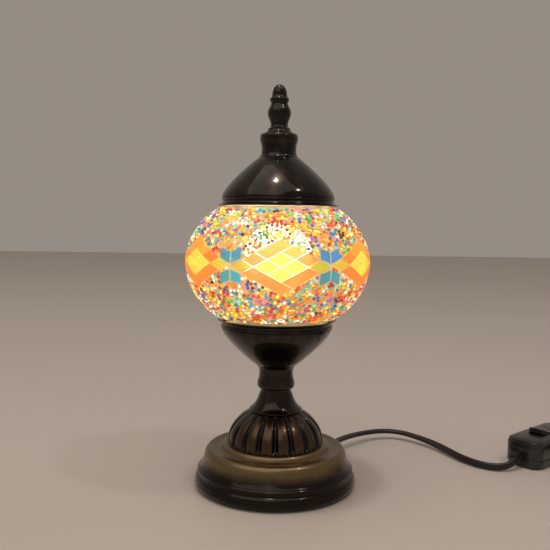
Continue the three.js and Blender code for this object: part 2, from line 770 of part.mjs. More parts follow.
const exitX = Math.cos(exitAngle);
const exitY = Math.sin(exitAngle);
const cordStart = reliefEnd + fitGap;
const switchCos = Math.cos(switchAngle);
const switchSin = Math.sin(switchAngle);
const switchExit = new THREE.Vector3(
  switchEntry.x + switchLength * switchCos,
  switchEntry.y + switchLength * switchSin,
  switchSplit,
);

addPart(
  cordSet,
  "lamp_cord",
  tubeAlong(
    [
      [cordStart * exitX, cordStart * exitY, exitHeight], [50.6, 72.4, 8], [58.1, 81.6, 7.6],
      [70, 92.6, 6.9], [82, 99.6, 6.4], [92, 101.2, 6.1], [101, 98.6, 5.8], [109, 91.9, 5.4],
      [117, 83, 4.8], [124.1, 72.4, 4.1], [130.2, 59.2, 3.6], [136.9, 45.6, 3.1], [145, 34.9, 2.9],
      [154, 29, 2.9], [162, 27.6, 3.8], [168, 29.9, 5.6],
      [switchEntry.x - 4 * switchCos, switchEntry.y - 4 * switchSin, switchSplit - 0.1],
      [switchEntry.x - fitGap * switchCos, switchEntry.y - fitGap * switchSin, switchSplit],
    ],
    cordRadius, 30,
  ),
  "cordSheath",
);

const pitch = cordWidth;
const coilHalfWidth = (coilTurnsWide * pitch) / 2;
const coilFoot = tieThickness + fitGap;
const coilTop = coilFoot + coilTurnsHigh * pitch;
const outerTurn = coilRadius + pitch;
const firstTurnHeight = coilFoot + pitch / 2;
const coilOuter = coilRadius + coilHalfWidth;
// The straight run beside the coil, measured back from where it would touch the outer turn.
const coilRun = Math.sqrt(coilOuter ** 2 - (outerTurn - cordRadius) ** 2) + 1.4;

addPart(
  cordSet,
  "supply_cord",
  tubeAlong(
    [
      [switchExit.x + fitGap * switchCos, switchExit.y + fitGap * switchSin, switchSplit],
      [227, 82.3, 6.4], [233, 87.2, 5.4], [240, 92.2, 4.5], [247.6, 96.6, 4],
      [coilCentre.x - coilRun, coilCentre.y + outerTurn - 0.5, firstTurnHeight],
    ],
    cordRadius, 10,
  ),
  "cordSheath",
);

addPart(
  cordSet,
  "cord_coil",
  ring(coilRadius - coilHalfWidth, coilOuter, coilFoot, coilTop, 40)
    .translate(coilCentre.x, coilCentre.y, 0),
  "cordSheath",
);

// The plug's cord leaves the coil's top outer turn where the turn heads the way that the plug points,
// and comes down to the plug. Points are given as distance run from there, and height.
const plugCos = Math.cos(plugAngle);
const plugSin = Math.sin(plugAngle);
const leaveX = coilCentre.x - outerTurn * plugSin;
const leaveY = coilCentre.y + outerTurn * plugCos;
const plugHeight = plugThickness / 2;

function alongPlugCord(run, height) {
  return [leaveX + run * plugCos, leaveY + run * plugSin, height];
}

addPart(
  cordSet,
  "plug_cord",
  tubeAlong(
    [
      alongPlugCord(coilRun, 10.4),
      alongPlugCord(coilRun + 5, 8.3),
      alongPlugCord(plugRun - 5, 6.95),
      alongPlugCord(plugRun - fitGap, plugHeight),
    ],
    cordRadius, 4,
  ),
  "cordSheath",
);

// A strap round the bundle of turns.
function coilTie() {
  const gap = fitGap;
  const width = coilHalfWidth + gap;
  const low = tieThickness;
  const high = coilTop + gap;
  const outer = new THREE.Shape();
  outer.moveTo(-width - tieThickness, 0);
  outer.lineTo(width + tieThickness, 0);
  outer.lineTo(width + tieThickness, high + tieThickness);
  outer.lineTo(-width - tieThickness, high + tieThickness);
  outer.closePath();
  outer.holes.push(polygon([[-width, low], [-width, high], [width, high], [width, low]]));
  const strap = 5;
  const angle = THREE.MathUtils.degToRad(-20);
  return new THREE.ExtrudeGeometry(outer, { depth: strap, bevelEnabled: false })
    .translate(0, 0, -strap / 2)
    .rotateX(Math.PI / 2)
    .translate(coilRadius, 0, 0)
    .rotateZ(angle)
    .translate(coilCentre.x, coilCentre.y, 0);
}
addPart(cordSet, "coil_tie", coilTie(), "plastic");

// ---------------------------------------------------------------- cord: switch

const cordSwitch = new THREE.Group();
cordSwitch.position.copy(switchEntry);
cordSwitch.rotation.z = switchAngle;
cordSet.add(cordSwitch);

const switchBevel = 3.5;
const switchCorner = 8;
const pivotHeight = switchHeight - 2.6;
const screwReach = switchLength / 2 - 8.5;
const bossRadius = 3.4;
const middle = switchLength / 2;

function switchBlock(inset, low, high) {
  const bevel = switchBevel - inset;
  const shape = roundedRectangle(
    switchLength - 2 * inset - 2 * bevel, switchWidth - 2 * inset - 2 * bevel, switchCorner - bevel,
  );
  return new THREE.ExtrudeGeometry(shape, {
    depth: high - low - 2 * bevel, bevelThickness: bevel, bevelSize: bevel, bevelSegments: 2,
    curveSegments: 3,
  }).translate(middle, 0, low + bevel);
}

function slab(low, high) {
  return box(2 * switchLength, 2 * switchWidth, high - low).translate(middle, 0, (low + high) / 2);
}

function screwPosts(radius, low, high) {
  return [-screwReach, screwReach].map((x) => post(radius, low, high).translate(middle + x, 0, 0));
}

function switchBase() {
  const whole = common(switchBlock(0, 0, switchHeight), slab(-1, switchSplit - fitGap / 2));
  const inside = common(
    switchBlock(switchWall, switchWall, switchHeight - switchWall), slab(0, switchSplit + 5),
  );
  return cut(cut(whole, inside), ...screwPosts(1.8, -1, 5), ...screwPosts(3.2, -1, 1.2));
}

function switchCover() {
  const whole = common(
    switchBlock(0, 0, switchHeight), slab(switchSplit + fitGap / 2, switchHeight + 1),
  );
  const inside = common(
    switchBlock(switchWall, switchWall, switchHeight - switchWall), slab(0, switchHeight),
  );
  const hollow = cut(whole, inside);
  const bosses = screwPosts(bossRadius, switchSplit + 1, switchHeight - switchWall / 2);
  const bored = cut(join(hollow, ...bosses), ...screwPosts(1.8, switchSplit, switchHeight - 5));
  const wellHalfWidth = rockerWidth / 2 + 0.4;
  const well = box(rockerLength + 2.6, 2 * wellHalfWidth, 12).translate(middle, 0, switchHeight);
  const pinHole = post(rockerPinRadius + 0.2, -wellHalfWidth - 1, wellHalfWidth + 1)
    .rotateX(Math.PI / 2);
  const cheeks = [-1, 1].map((side) =>
    box(6, 1.4, 7).translate(middle, side * (wellHalfWidth + 0.7), switchHeight - switchWall - 2),
  );
  const pivoted = join(cut(bored, well), ...cheeks);
  return cut(pivoted, pinHole.translate(middle, 0, pivotHeight));
}

function rocker() {
  const half = rockerLength / 2;
  const profile = new THREE.Shape();
  profile.moveTo(-half, 1.6);
  profile.lineTo(-4, -4.4);
  profile.lineTo(4, -4.4);
  profile.lineTo(half, 1.6);
  profile.lineTo(half, 5);
  profile.quadraticCurveTo(0, 1.6, -half, 5);
  profile.closePath();
  const body = new THREE.ExtrudeGeometry(profile, { depth: rockerWidth, bevelEnabled: false })
    .translate(0, 0, -rockerWidth / 2)
    .rotateX(Math.PI / 2);
  const bore = post(rockerPinRadius + 0.2, -rockerWidth, rockerWidth).rotateX(Math.PI / 2);
  return cut(body, bore).rotateY(rockerTilt).translate(middle, 0, pivotHeight);
}

const contactZ = switchWall + fitGap + 0.5;
addPart(cordSwitch, "switch_base", switchBase(), "plastic");
addPart(cordSwitch, "switch_cover", switchCover(), "plastic");
addPart(cordSwitch, "rocker", rocker(), "plastic");
addPart(
  cordSwitch,
  "rocker_pin",
  post(rockerPinRadius, -rockerWidth / 2 - 1.4, rockerWidth / 2 + 1.4)
    .rotateX(Math.PI / 2)
    .translate(middle, 0, pivotHeight),
  "steel",
);
addPart(
  cordSwitch,
  "switch_contact",
  bentStrip([[-11, contactZ], [-4, contactZ], [0, contactZ + 9], [4, contactZ], [11, contactZ]], 0.8, 6)
    .translate(middle, 0, 0),
  "brass",
);
[-screwReach, screwReach].forEach((x, i) => {
  const screw = turnedOnAxis(
    [[0, 0.2], [2.9, 0.2], [2.9, 0.9], [1.5, 0.9], [1.5, switchSplit + 5], [0, switchSplit + 5]],
  );
  addPart(cordSwitch, `switch_screw_${i + 1}`, screw.translate(middle + x, 0, 0), "steel");
});

// ---------------------------------------------------------------- cord: plug

const plug = new THREE.Group();
plug.position.set(...alongPlugCord(plugRun, plugHeight));
plug.rotation.z = plugAngle;
cordSet.add(plug);

function plugBody() {
  const bevel = 2.5;
  const section = roundedRectangle(plugThickness - 2 * bevel, plugWidth - 2 * bevel, 2.5);
  const body = new THREE.ExtrudeGeometry(section, {
    depth: plugBodyLength - 2 * bevel, bevelThickness: bevel, bevelSize: bevel, bevelSegments: 2,
    curveSegments: 2,
  })
    .translate(0, 0, reliefLength + bevel)
    .rotateY(Math.PI / 2);
  const sleeve = turnedOnAxis(
    [[0, 0], [cordRadius + 0.5, 0], [cordRadius + 2, reliefLength - 2], [6.4, reliefLength + 6],
      [0, reliefLength + 6]],
  ).rotateY(Math.PI / 2);
  return join(body, sleeve);
}

function plugPin() {
  const foot = reliefLength + plugBodyLength + fitGap;
  return turnedOnAxis(
    [[0, foot], [pinRadius, foot], [pinRadius, foot + pinLength - 1], [pinRadius - 1, foot + pinLength],
      [0, foot + pinLength]],
  ).rotateY(Math.PI / 2);
}

addPart(plug, "plug_body", plugBody(), "plastic");
[-1, 1].forEach((side, i) => {
  addPart(plug, `plug_pin_${i + 1}`, plugPin().translate(0, (side * pinSpacing) / 2, 0), "steel");
});

export default lamp;
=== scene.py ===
import math
import random

import bpy
from mathutils import Matrix, Vector


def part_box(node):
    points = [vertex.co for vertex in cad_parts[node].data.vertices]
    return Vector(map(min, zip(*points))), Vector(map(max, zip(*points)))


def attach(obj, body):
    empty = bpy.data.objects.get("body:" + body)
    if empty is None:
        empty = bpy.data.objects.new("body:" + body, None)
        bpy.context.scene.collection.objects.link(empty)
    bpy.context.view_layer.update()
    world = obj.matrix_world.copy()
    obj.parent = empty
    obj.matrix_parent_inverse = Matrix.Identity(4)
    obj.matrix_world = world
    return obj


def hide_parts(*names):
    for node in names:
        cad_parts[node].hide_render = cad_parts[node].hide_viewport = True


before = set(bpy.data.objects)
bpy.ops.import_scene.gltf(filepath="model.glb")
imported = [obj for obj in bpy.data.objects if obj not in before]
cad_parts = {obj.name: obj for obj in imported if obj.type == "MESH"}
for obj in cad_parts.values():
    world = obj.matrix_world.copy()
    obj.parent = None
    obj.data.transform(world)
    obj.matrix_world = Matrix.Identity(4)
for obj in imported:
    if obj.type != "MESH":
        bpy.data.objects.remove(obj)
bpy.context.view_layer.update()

mm = 0.001

# ---------------------------------------------------------------- camera
# The lamp is seen from just in front of its ball, a little above its middle, with a short
# portrait lens that looks slightly down.

camera_distance = 476.5 * mm
camera_height = 176.8 * mm
pitch_down = 0.079
swing_right = -0.0032
lean = 0.0126

camera = bpy.data.objects.new("camera", bpy.data.cameras.new("camera"))
camera.data.lens = 47.9
camera.data.sensor_width = 36
camera.data.clip_start = 10 * mm
camera.data.clip_end = 20
camera.matrix_world = (
    Matrix.Translation((0, -camera_distance, camera_height))
    @ Matrix.Rotation(-swing_right, 4, "Z")
    @ Matrix.Rotation(math.pi / 2 - pitch_down, 4, "X")
    @ Matrix.Rotation(lean, 4, "Z")
)
bpy.context.scene.collection.objects.link(camera)
bpy.context.scene.camera = camera
bpy.context.scene.view_settings.view_transform = "Standard"

# ---------------------------------------------------------------- floor and light
# A plain pale studio floor with one soft overhead light, a narrow bright one that gives
# polished metal its sparkle, and an even, dim surround.


class Socket:
    """A shader socket that can stand in sums and products of values."""

    def __init__(self, finish, socket):
        self.finish = finish
        self.socket = socket

    def math(self, operation, first, second=0.0):
        return self.finish.node("Math", {"operation": operation}, {0: first, 1: second})

    def __add__(self, other):
        return self.math("ADD", self, other)

    def __sub__(self, other):
        return self.math("SUBTRACT", self, other)

    def __rsub__(self, other):
        return self.math("SUBTRACT", other, self)

    def __mul__(self, other):
        return self.math("MULTIPLY", self, other)

    __radd__ = __add__
    __rmul__ = __mul__


class Finish:
    """A material that is built node by node."""

    def __init__(self, name, **fixed):
        self.material = bpy.data.materials.new(name)
        self.material.use_nodes = True
        self.tree = self.material.node_tree
        self.surface = self.tree.nodes["Principled BSDF"]
        self.feed(self.surface, {words.replace("_", " "): value for words, value in fixed.items()})

    def feed(self, node, inputs):
        for name, value in inputs.items():
            if isinstance(value, Socket):
                self.tree.links.new(value.socket, node.inputs[name])
            else:
                node.inputs[name].default_value = value

    def node(self, kind, settings=None, inputs=None, output=0):
        made = self.tree.nodes.new("ShaderNode" + kind)
        for name, value in (settings or {}).items():
            setattr(made, name, value)
        self.feed(made, inputs or {})
        return Socket(self, made.outputs[output])

    def set(self, **inputs):
        self.feed(self.surface, {words.replace("_", " "): value for words, value in inputs.items()})

    def place(self):
        """Where a point of the piece is, in metres."""
        return self.node("TexCoord", output="Object")

    def height(self):
        return self.node("SeparateXYZ", {}, {"Vector": self.place()}, output="Z")

    def noise(self, size, detail=2.0):
        """Soft patches about as large as size, from 0 to 1."""
        values = {"Vector": self.place(), "Scale": 1 / size, "Detail": detail}
        return self.node("TexNoise", {}, values, output="Fac")

    def step(self, value, low, high, from_value=0.0, to_value=1.0):
        """A smooth change as value goes from low to high."""
        inputs = {"Value": value, "From Min": low, "From Max": high}
        inputs.update({"To Min": from_value, "To Max": to_value})
        return self.node("MapRange", {"interpolation_type": "SMOOTHSTEP"}, inputs)

    def mix(self, share, first, second, how="MIX"):
        settings = {"data_type": "RGBA", "blend_type": how}
        return self.node("Mix", settings, {0: share, 6: first, 7: second}, output=2)

    def relief(self, height, depth):
        """Gives the surface small bumps as deep as depth, in metres."""
        self.set(Normal=self.node("Bump", {}, {"Height": height, "Distance": depth, "Strength": 1.0}))


def paint(red, green, blue):
    return (red, green, blue, 1.0)


floor_size = 6.0
floor_finish = Finish("pale_floor", Roughness=0.42, Specular_IOR_Level=0.4)
cloud = floor_finish.noise(0.35)
floor_finish.set(
    Base_Color=floor_finish.mix(cloud, paint(0.56, 0.50, 0.45), paint(0.62, 0.56, 0.50)),
)
floor_mesh = bpy.data.meshes.new("floor")
half = floor_size / 2
floor_corners = [(-half, -half, 0), (half, -half, 0), (half, half, 0), (-half, half, 0)]
floor_mesh.from_pydata(floor_corners, [], [(0, 1, 2, 3)])
floor_mesh.materials.append(floor_finish.material)
floor = bpy.data.objects.new("floor", floor_mesh)
bpy.context.scene.collection.objects.link(floor)

surround = bpy.data.worlds.new("surround")
surround.use_nodes = True
surround.node_tree.nodes["Background"].inputs["Color"].default_value = paint(0.95, 0.82, 0.72)
surround.node_tree.nodes["Background"].inputs["Strength"].default_value = 0.32
bpy.context.scene.world = surround


def area_light(name, place, aim, size, power, colour):
    lamp = bpy.data.lights.new(name, "AREA")
    lamp.shape = "SQUARE"
    lamp.size = size
    lamp.energy = power
    lamp.color = colour
    holder = bpy.data.objects.new(name, lamp)
    bpy.context.scene.collection.objects.link(holder)
    holder.location = place
    holder.rotation_mode = "QUATERNION"
    holder.rotation_quaternion = (Vector(aim) - Vector(place)).to_track_quat("-Z", "Y")


area_light("soft_overhead", (-0.5, -0.7, 1.9), (0, 0, 0.12), 2.4, 15.0, (1.0, 0.94, 0.88))
area_light("bright_overhead", (-0.08, -0.12, 1.55), (0, 0, 0.1), 0.11, 3.2, (1.0, 0.97, 0.93))
area_light("bright_side", (0.62, -0.35, 1.25), (0, 0, 0.15), 0.10, 1.6, (1.0, 0.97, 0.93))

# ---------------------------------------------------------------- base
# Spun brass over an iron weight: a rolled rim, a fine beaded band, a cove and a full
# shoulder. Its colour goes by height: olive brass on the shoulder, almost black on the walls below.

base_low, base_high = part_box("base_shell")
base_radius = base_high.x
base_top = base_high.z
shoulder_radius = base_radius - 6.3 * mm
rim_roll = 3.5 * mm
sheet = 1.0 * mm
bead_count = 132
bead_height = 0.22 * mm


def arc(centre_x, centre_y, radius_x, radius_y, start, end, steps):
    """Points on an ellipse from start to end, in radians."""
    turns = [start + (end - start) * i / steps for i in range(steps + 1)]
    return [(centre_x + radius_x * math.cos(a), centre_y + radius_y * math.sin(a)) for a in turns]


def curve(points, steps):
    """Points on a Bezier curve of any order."""
    order = len(points) - 1

    def at(t):
        weights = [math.comb(order, k) * t**k * (1 - t) ** (order - k) for k in range(order + 1)]
        return tuple(sum(w * p[axis] for w, p in zip(weights, points)) for axis in (0, 1))

    return [at(i / steps) for i in range(steps + 1)]


def finish_mesh(name, points, faces, finish, body, smooth_angle=40, replaces=()):
    """Makes a piece from its points and faces, and puts it on its body."""
    mesh = bpy.data.meshes.new(name)
    mesh.from_pydata(points, [], faces)
    mesh.validate()
    mesh.materials.append(finish.material)
    mesh.shade_smooth()
    if smooth_angle:
        mesh.set_sharp_from_angle(angle=math.radians(smooth_angle))
    piece = bpy.data.objects.new(name, mesh)
    bpy.context.scene.collection.objects.link(piece)
    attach(piece, body)
    if replaces:
        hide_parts(*replaces)
    return piece


def turn(outline, sides, shape=None):
    """Points and faces of an outline of radius and height turned about +Z. The outline is closed, or
    starts and ends on the axis. shape may change the radius of a point, by its angle and its place."""
    on_axis = outline[0][0] < 1e-9 and outline[-1][0] < 1e-9
    inner = outline[1:-1] if on_axis else outline
    points = []
    for side in range(sides):
        angle = 2 * math.pi * side / sides
        for index, (radius, height) in enumerate(inner):
            if shape:
                radius = shape(angle, index, radius, height)
            points.append((radius * math.sin(angle), -radius * math.cos(angle), height))
    count = len(inner)
    rows = count - 1 if on_axis else count
    faces = []
    for side in range(sides):
        here, there = side * count, (side + 1) % sides * count
        for row in range(rows):
            up = (row + 1) % count
            faces.append((here + row, there + row, there + up, here + up))
    if on_axis:
        foot, top = len(points), len(points) + 1
        points += [(0, 0, outline[0][1]), (0, 0, outline[-1][1])]
        for side in range(sides):
            here, there = side * count, (side + 1) % sides * count
            faces.append((foot, there, here))
            faces.append((top, here + count - 1, there + count - 1))
    return points, faces


def base_outline():
    rim = (base_radius - rim_roll, base_low.z + rim_roll)
    dip = base_top - 3.3 * mm
    seat = 32.6 * mm
    shoulder = shoulder_radius
    outer = arc(*rim, rim_roll, rim_roll, -1.9, 0.5, 12)
    outer += curve(
        [(base_radius - 0.4 * mm, 5.8 * mm), (base_radius - 0.4 * mm, 8 * mm),
         (base_radius - 2.3 * mm, 9.0 * mm)], 5,
    )
    outer += [(base_radius - 2.4 * mm, 9.7 * mm)]
    band = [(base_radius - 2.0 * mm, 10.0 * mm + i * 0.45 * mm) for i in range(6)]
    outer += band
    outer += [(base_radius - 2.7 * mm, 12.7 * mm), (base_radius - 3.0 * mm, 13.3 * mm)]
    outer += curve(
        [(base_radius - 3.3 * mm, 13.4 * mm), (shoulder + 0.8 * mm, 16 * mm),
         (shoulder, base_top - 8 * mm)], 8,
    )
    outer += curve(
        [(shoulder, base_top - 8 * mm), (shoulder - 0.4 * mm, dip - 2 * mm),
         (shoulder - 1.6 * mm, dip + 0.6 * mm), (shoulder - 4 * mm, dip + 0.5 * mm)], 12,
    )[1:]
    outer += curve(
        [(shoulder - 4 * mm, dip + 0.5 * mm), (seat + 5.5 * mm, dip - 1 * mm),
         (seat + 2.8 * mm, dip + 0.4 * mm)], 6,
    )[1:]
    outer += curve([(seat + 2.8 * mm, dip + 0.4 * mm), (seat + 2 * mm, base_top), (seat, base_top)], 6)[1:]
    under = [
        (5.4 * mm, base_top), (5.4 * mm, base_top - sheet), (seat + 0.4 * mm, base_top - sheet),
        (seat + 2.4 * mm, dip - sheet), (shoulder - 4 * mm, dip - 1.3 * sheet),
        (shoulder - 1.5 * mm, dip - 5 * mm), (base_radius - 4.6 * mm, 13 * mm),
        (base_radius - 3.6 * mm, 9.6 * mm),
    ]
    under += arc(*rim, rim_roll - sheet, rim_roll - sheet, 0.5, -1.9, 8)
    return outer + under, len(arc(*rim, 1, 1, -1.9, 0.5, 12)) + 7


outline, band_start = base_outline()


def beaded(angle, index, radius, height):
    if band_start + 1 <= index <= band_start + 4:
        return radius - bead_height * (0.5 - 0.5 * math.cos(bead_count * angle))
    return radius


burnished = Finish("burnished_brass", Metallic=1.0, Coat_Weight=0.35, Coat_Roughness=0.12)
# Olive brass towards the top and almost black lower down, set by height with a little noise; a little
# rougher where olive.
olive_by_height = burnished.step(burnished.height() + (burnished.noise(7 * mm) - 0.5) * (3 * mm), 14 * mm, 22.5 * mm)
grime = burnished.noise(1.6 * mm, 4.0)
olive = burnished.mix(grime, paint(0.15, 0.108, 0.05), paint(0.25, 0.185, 0.09))
black = burnished.mix(grime, paint(0.008, 0.005, 0.003), paint(0.022, 0.014, 0.009))
burnished.set(
    Base_Color=burnished.mix(olive_by_height, black, olive),
    Roughness=0.2 + olive_by_height * 0.14 + grime * 0.06,
)
burnished.relief(burnished.noise(0.5 * mm, 3.0), 0.008 * mm)

points, faces = turn(outline, bead_count * 4, beaded)
finish_mesh("base_spun_shell", points, faces, burnished, "stand", 35, ["base_shell"])

# ---------------------------------------------------------------- dome and neck
# A cast dome of broad lobes with dark grooves between them stands on the base, and a spun
# cone closes its top. Both are lacquered a very dark bronze with brown patches; the dome is
# brown on its lobes and near-black in its grooves.

flutes = 18
groove_share = 0.34
groove_depth = 1.9 * mm

dome_low, dome_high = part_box("fluted_dome")
dome_foot = dome_low.z
dome_height = dome_high.z - dome_low.z
dome_radius = 31.3 * mm
last_grooved_point = 44


def fluted(angle, index, radius, height):
    """A groove with a round bottom between lobes that are slightly crowned."""
    if height < dome_foot + 0.5 * mm or radius < 14 * mm or index > last_grooved_point:
        return radius
    across = abs((angle * flutes / (2 * math.pi) + 0.5) % 1 - 0.5) * 2
    rise = (height - dome_foot) / dome_height
    fade = min(1, (rise / 0.09) ** 0.7) * min(1, (1 - rise) / 0.06)
    if across < groove_share:
        dip = groove_depth * (1 - (across / groove_share) ** 2) ** 0.7 + 0.35 * mm
    else:
        dip = 0.35 * mm * (1 - ((across - groove_share) / (1 - groove_share))) ** 2
    return radius - dip * fade * min(1, radius / (24 * mm))


dome_curve = 23 * mm
dome_start = math.asin((dome_height - 1.5 * mm) / dome_curve)
outline = [(dome_radius, dome_foot), (dome_radius, dome_foot + 0.8 * mm)]
outline += arc(0, dome_foot + 1.5 * mm, dome_radius, dome_curve, 0.01, dome_start, 42)
outline += [(5.4 * mm, dome_high.z), (5.4 * mm, dome_high.z - sheet), (15 * mm, dome_high.z - sheet)]
outline += arc(0, dome_foot + 1.5 * mm, dome_radius - 3 * mm, dome_curve - 2 * mm, 1.0, 0, 8)
outline += [(dome_radius - 3 * mm, dome_foot)]

bronze = Finish("dark_bronze", Metallic=1.0, Coat_Weight=0.5, Coat_Roughness=0.07)
tarnish = bronze.noise(9 * mm, 3.0)
speck = bronze.noise(0.7 * mm, 3.0)
bronze.set(
    Base_Color=bronze.mix(
        bronze.step(tarnish, 0.35, 0.7), paint(0.009, 0.006, 0.004), paint(0.034, 0.021, 0.013),
    ),
    Roughness=0.15 + tarnish * 0.12 + speck * 0.05,
)
bronze.relief(speck, 0.006 * mm)

fluted_bronze = Finish("fluted_bronze", Metallic=1.0, Coat_Weight=0.4, Coat_Roughness=0.1)
rightward = fluted_bronze.node("SeparateXYZ", {}, {"Vector": fluted_bronze.place()}, output="X")
backward = fluted_bronze.node("SeparateXYZ", {}, {"Vector": fluted_bronze.place()}, output="Y")
around = rightward.math("ARCTAN2", rightward, backward * -1)
lobe = around.math("ABSOLUTE", around.math("SINE", around * (flutes / 2)))
# Brown on the lobes and near-black in the grooves, set by the angle round the dome.
brown_on_lobes = fluted_bronze.step(lobe, 0.42, 0.72)
cast_grain = fluted_bronze.noise(1.1 * mm, 4.0)
fluted_bronze.set(
    Base_Color=fluted_bronze.mix(
        brown_on_lobes * (0.5 + cast_grain * 0.6), paint(0.006, 0.004, 0.003), paint(0.085, 0.05, 0.027),
    ),
    Roughness=0.24 + cast_grain * 0.14,
)
fluted_bronze.relief(cast_grain, 0.03 * mm)

points, faces = turn(outline, flutes * 20, fluted)
finish_mesh("dome_cast_flutes", points, faces, fluted_bronze, "stand", 45, ["fluted_dome"])

cone_low, cone_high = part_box("neck_cone")
cone_radius = cone_high.x
neck_radius = 10.1 * mm
cone_height = cone_high.z - cone_low.z


def raised(outline, foot):
    return [(radius, height + foot) for radius, height in outline]


cone = arc(cone_radius - 0.5 * mm, 0.5 * mm, 0.5 * mm, 0.5 * mm, -math.pi / 2, 0.6, 6)
cone += curve(
    [(cone_radius - 0.1 * mm, 1 * mm), (neck_radius + 2.5 * mm, 4.4 * mm),
     (neck_radius + 2.1 * mm, 8 * mm), (neck_radius, cone_height - 1.3 * mm)], 22,
)
cone += [(neck_radius, cone_height), (5.4 * mm, cone_height), (5.4 * mm, cone_height - 1.5 * mm)]
cone += [(neck_radius - 1.5 * mm, cone_height - 1.5 * mm)]
cone += curve([(neck_radius, 8 * mm), (neck_radius + 1 * mm, 4 * mm), (cone_radius - 1.5 * mm, 0)], 8)
points, faces = turn(raised(cone, cone_low.z), 128)
finish_mesh("neck_spun_cone", points, faces, bronze, "stand", 40, ["neck_cone"])


def collar(hole):
    """The turned spacer of the neck and of the cap: a round shoulder, a waist, and a flare."""
    full, waist, flare, tall = 12.3 * mm, 11.2 * mm, 12.7 * mm, 14.9 * mm
    line = [(hole, 0)]
    line += curve([(full - 1.8 * mm, 0), (full - 0.1 * mm, 0.2 * mm), (full, 2.2 * mm)], 8)
    line += curve([(full, 4.2 * mm), (waist, 7 * mm), (waist, tall - 4.6 * mm)], 10)
    line += curve([(waist, tall - 4.6 * mm), (waist, tall - 1 * mm), (flare, tall)], 8)[1:]
    return line + [(hole, tall)]


points, faces = turn(raised(collar(5.4 * mm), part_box("neck_collar")[0].z), 96)
finish_mesh("neck_turned_collar", points, faces, bronze, "stand", 40, ["neck_collar"])

# ---------------------------------------------------------------- lower cup
# A spun cup with a bead under its thin flared lip. The cap is the same spinning, turned over.

cup_radius = 36.6 * mm
cup_height = 31.1 * mm
cup_lip = 38.9 * mm


def spun_cup(hole):
    foot = 12.7 * mm
    line = curve(
        [(foot, 0), (foot + 3.3 * mm, 2 * mm), (cup_radius - 1 * mm, cup_height - 13 * mm),
         (cup_radius - 0.1 * mm, cup_height - 5.5 * mm)], 36,
    )
    line += arc(cup_radius - 0.75 * mm, cup_height - 4.4 * mm, 0.75 * mm, 1.0 * mm, -1.2, 1.3, 8)
    line += curve(
        [(cup_radius - 0.5 * mm, cup_height - 3.0 * mm), (cup_radius - 0.7 * mm, cup_height - 1.6 * mm),
         (cup_lip - 0.1 * mm, cup_height - 0.7 * mm)], 6,
    )
    line += arc(cup_lip - 0.35 * mm, cup_height - 0.35 * mm, 0.35 * mm, 0.35 * mm, -0.9, math.pi / 2, 5)
    line += [(cup_lip - 0.9 * mm, cup_height), (cup_radius - 1.4 * mm, cup_height - 1.5 * mm)]
    line += curve(
        [(cup_radius - 1.1 * mm, cup_height - 5.5 * mm), (cup_radius - 2 * mm, cup_height - 12.6 * mm),
         (foot + 3.3 * mm, 3.4 * mm), (foot - 1 * mm, sheet)], 24,
    )
    return [(hole, 0)] + line + [(hole, sheet)]


points, faces = turn(raised(spun_cup(5.4 * mm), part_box("lower_cup")[0].z), 160)
finish_mesh("cup_spun_shell", points, faces, bronze, "stand", 40, ["lower_cup"])

# ---------------------------------------------------------------- hardware inside the stand
# The weight, rod, nuts, washer, cover and felt that clamp the stand together, and the cord's
# inner end. They keep their own solids and get the finish of what they are made of.


def plain_finish(name, dark, light, grain, rough, rough_spread, depth, **fixed):
    """A finish of one colour that varies a little, with a grain as large and deep as given."""
    made = Finish(name, **fixed)
    grit = made.noise(grain, 4.0)
    made.set(Base_Color=made.mix(grit, dark, light), Roughness=rough + grit * rough_spread)
    made.relief(grit, depth)
    return made


def refinish(finish, *nodes):
    for node in nodes:
        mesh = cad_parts[node].data
        mesh.materials.clear()
        mesh.materials.append(finish.material)


steel = plain_finish(
    "zinc_steel", paint(0.42, 0.42, 0.40), paint(0.62, 0.61, 0.57), 1.5 * mm, 0.25, 0.2, 0.01 * mm,
    Metallic=1.0,
)
iron = plain_finish(
    "cast_iron", paint(0.05, 0.05, 0.052), paint(0.11, 0.108, 0.105), 1.2 * mm, 0.65, 0.25, 0.15 * mm,
    Metallic=0.5,
)
felt = plain_finish(
    "felt", paint(0.012, 0.028, 0.016), paint(0.03, 0.06, 0.035), 0.5 * mm, 0.92, 0.08, 0.2 * mm,
    Sheen_Weight=0.5,
)
brass = plain_finish(
    "bright_brass", paint(0.55, 0.36, 0.12), paint(0.75, 0.53, 0.22), 2 * mm, 0.18, 0.16, 0.01 * mm,
    Metallic=1.0,
)
moulding = plain_finish(
    "black_moulding", paint(0.012, 0.010, 0.009), paint(0.022, 0.019, 0.017), 1 * mm, 0.4, 0.15, 0.02 * mm,
)
rubber = plain_finish(
    "soft_rubber", paint(0.014, 0.011, 0.009), paint(0.026, 0.02, 0.017), 0.8 * mm, 0.55, 0.2, 0.03 * mm,
)
cord_skin = plain_finish(
    "cord_skin", paint(0.008, 0.004, 0.002), paint(0.02, 0.010, 0.006), 3 * mm, 0.3, 0.12, 0.02 * mm,
)
refinish(steel, "base_cover", "rod_washer", "rod_nut_lower", "rod_nut_upper", "threaded_rod")
refinish(iron, "base_weight")
refinish(felt, "felt_pad")
refinish(rubber, "globe_gasket")
refinish(cord_skin, "inner_lead")

# ---------------------------------------------------------------- lamp holder
# A moulded holder screwed to the rod, with a brass screw shell, a sprung centre contact and
# two terminal screws.

refinish(moulding, "holder_base", "holder_body", "cord_grip")
refinish(brass, "screw_shell", "centre_contact", "terminal_screw_1", "terminal_screw_2")

# ---------------------------------------------------------------- bulb
# A small opal ball bulb with a brass screw cap. It is lit, and it is the only light behind the
# mosaic.

bulb_low, bulb_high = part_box("bulb_glass")
bulb_radius = bulb_high.x
bulb_centre = bulb_high.z - bulb_radius
bulb_neck = 8.4 * mm
neck_foot = bulb_low.z
join = -0.79
wall = 0.8 * mm

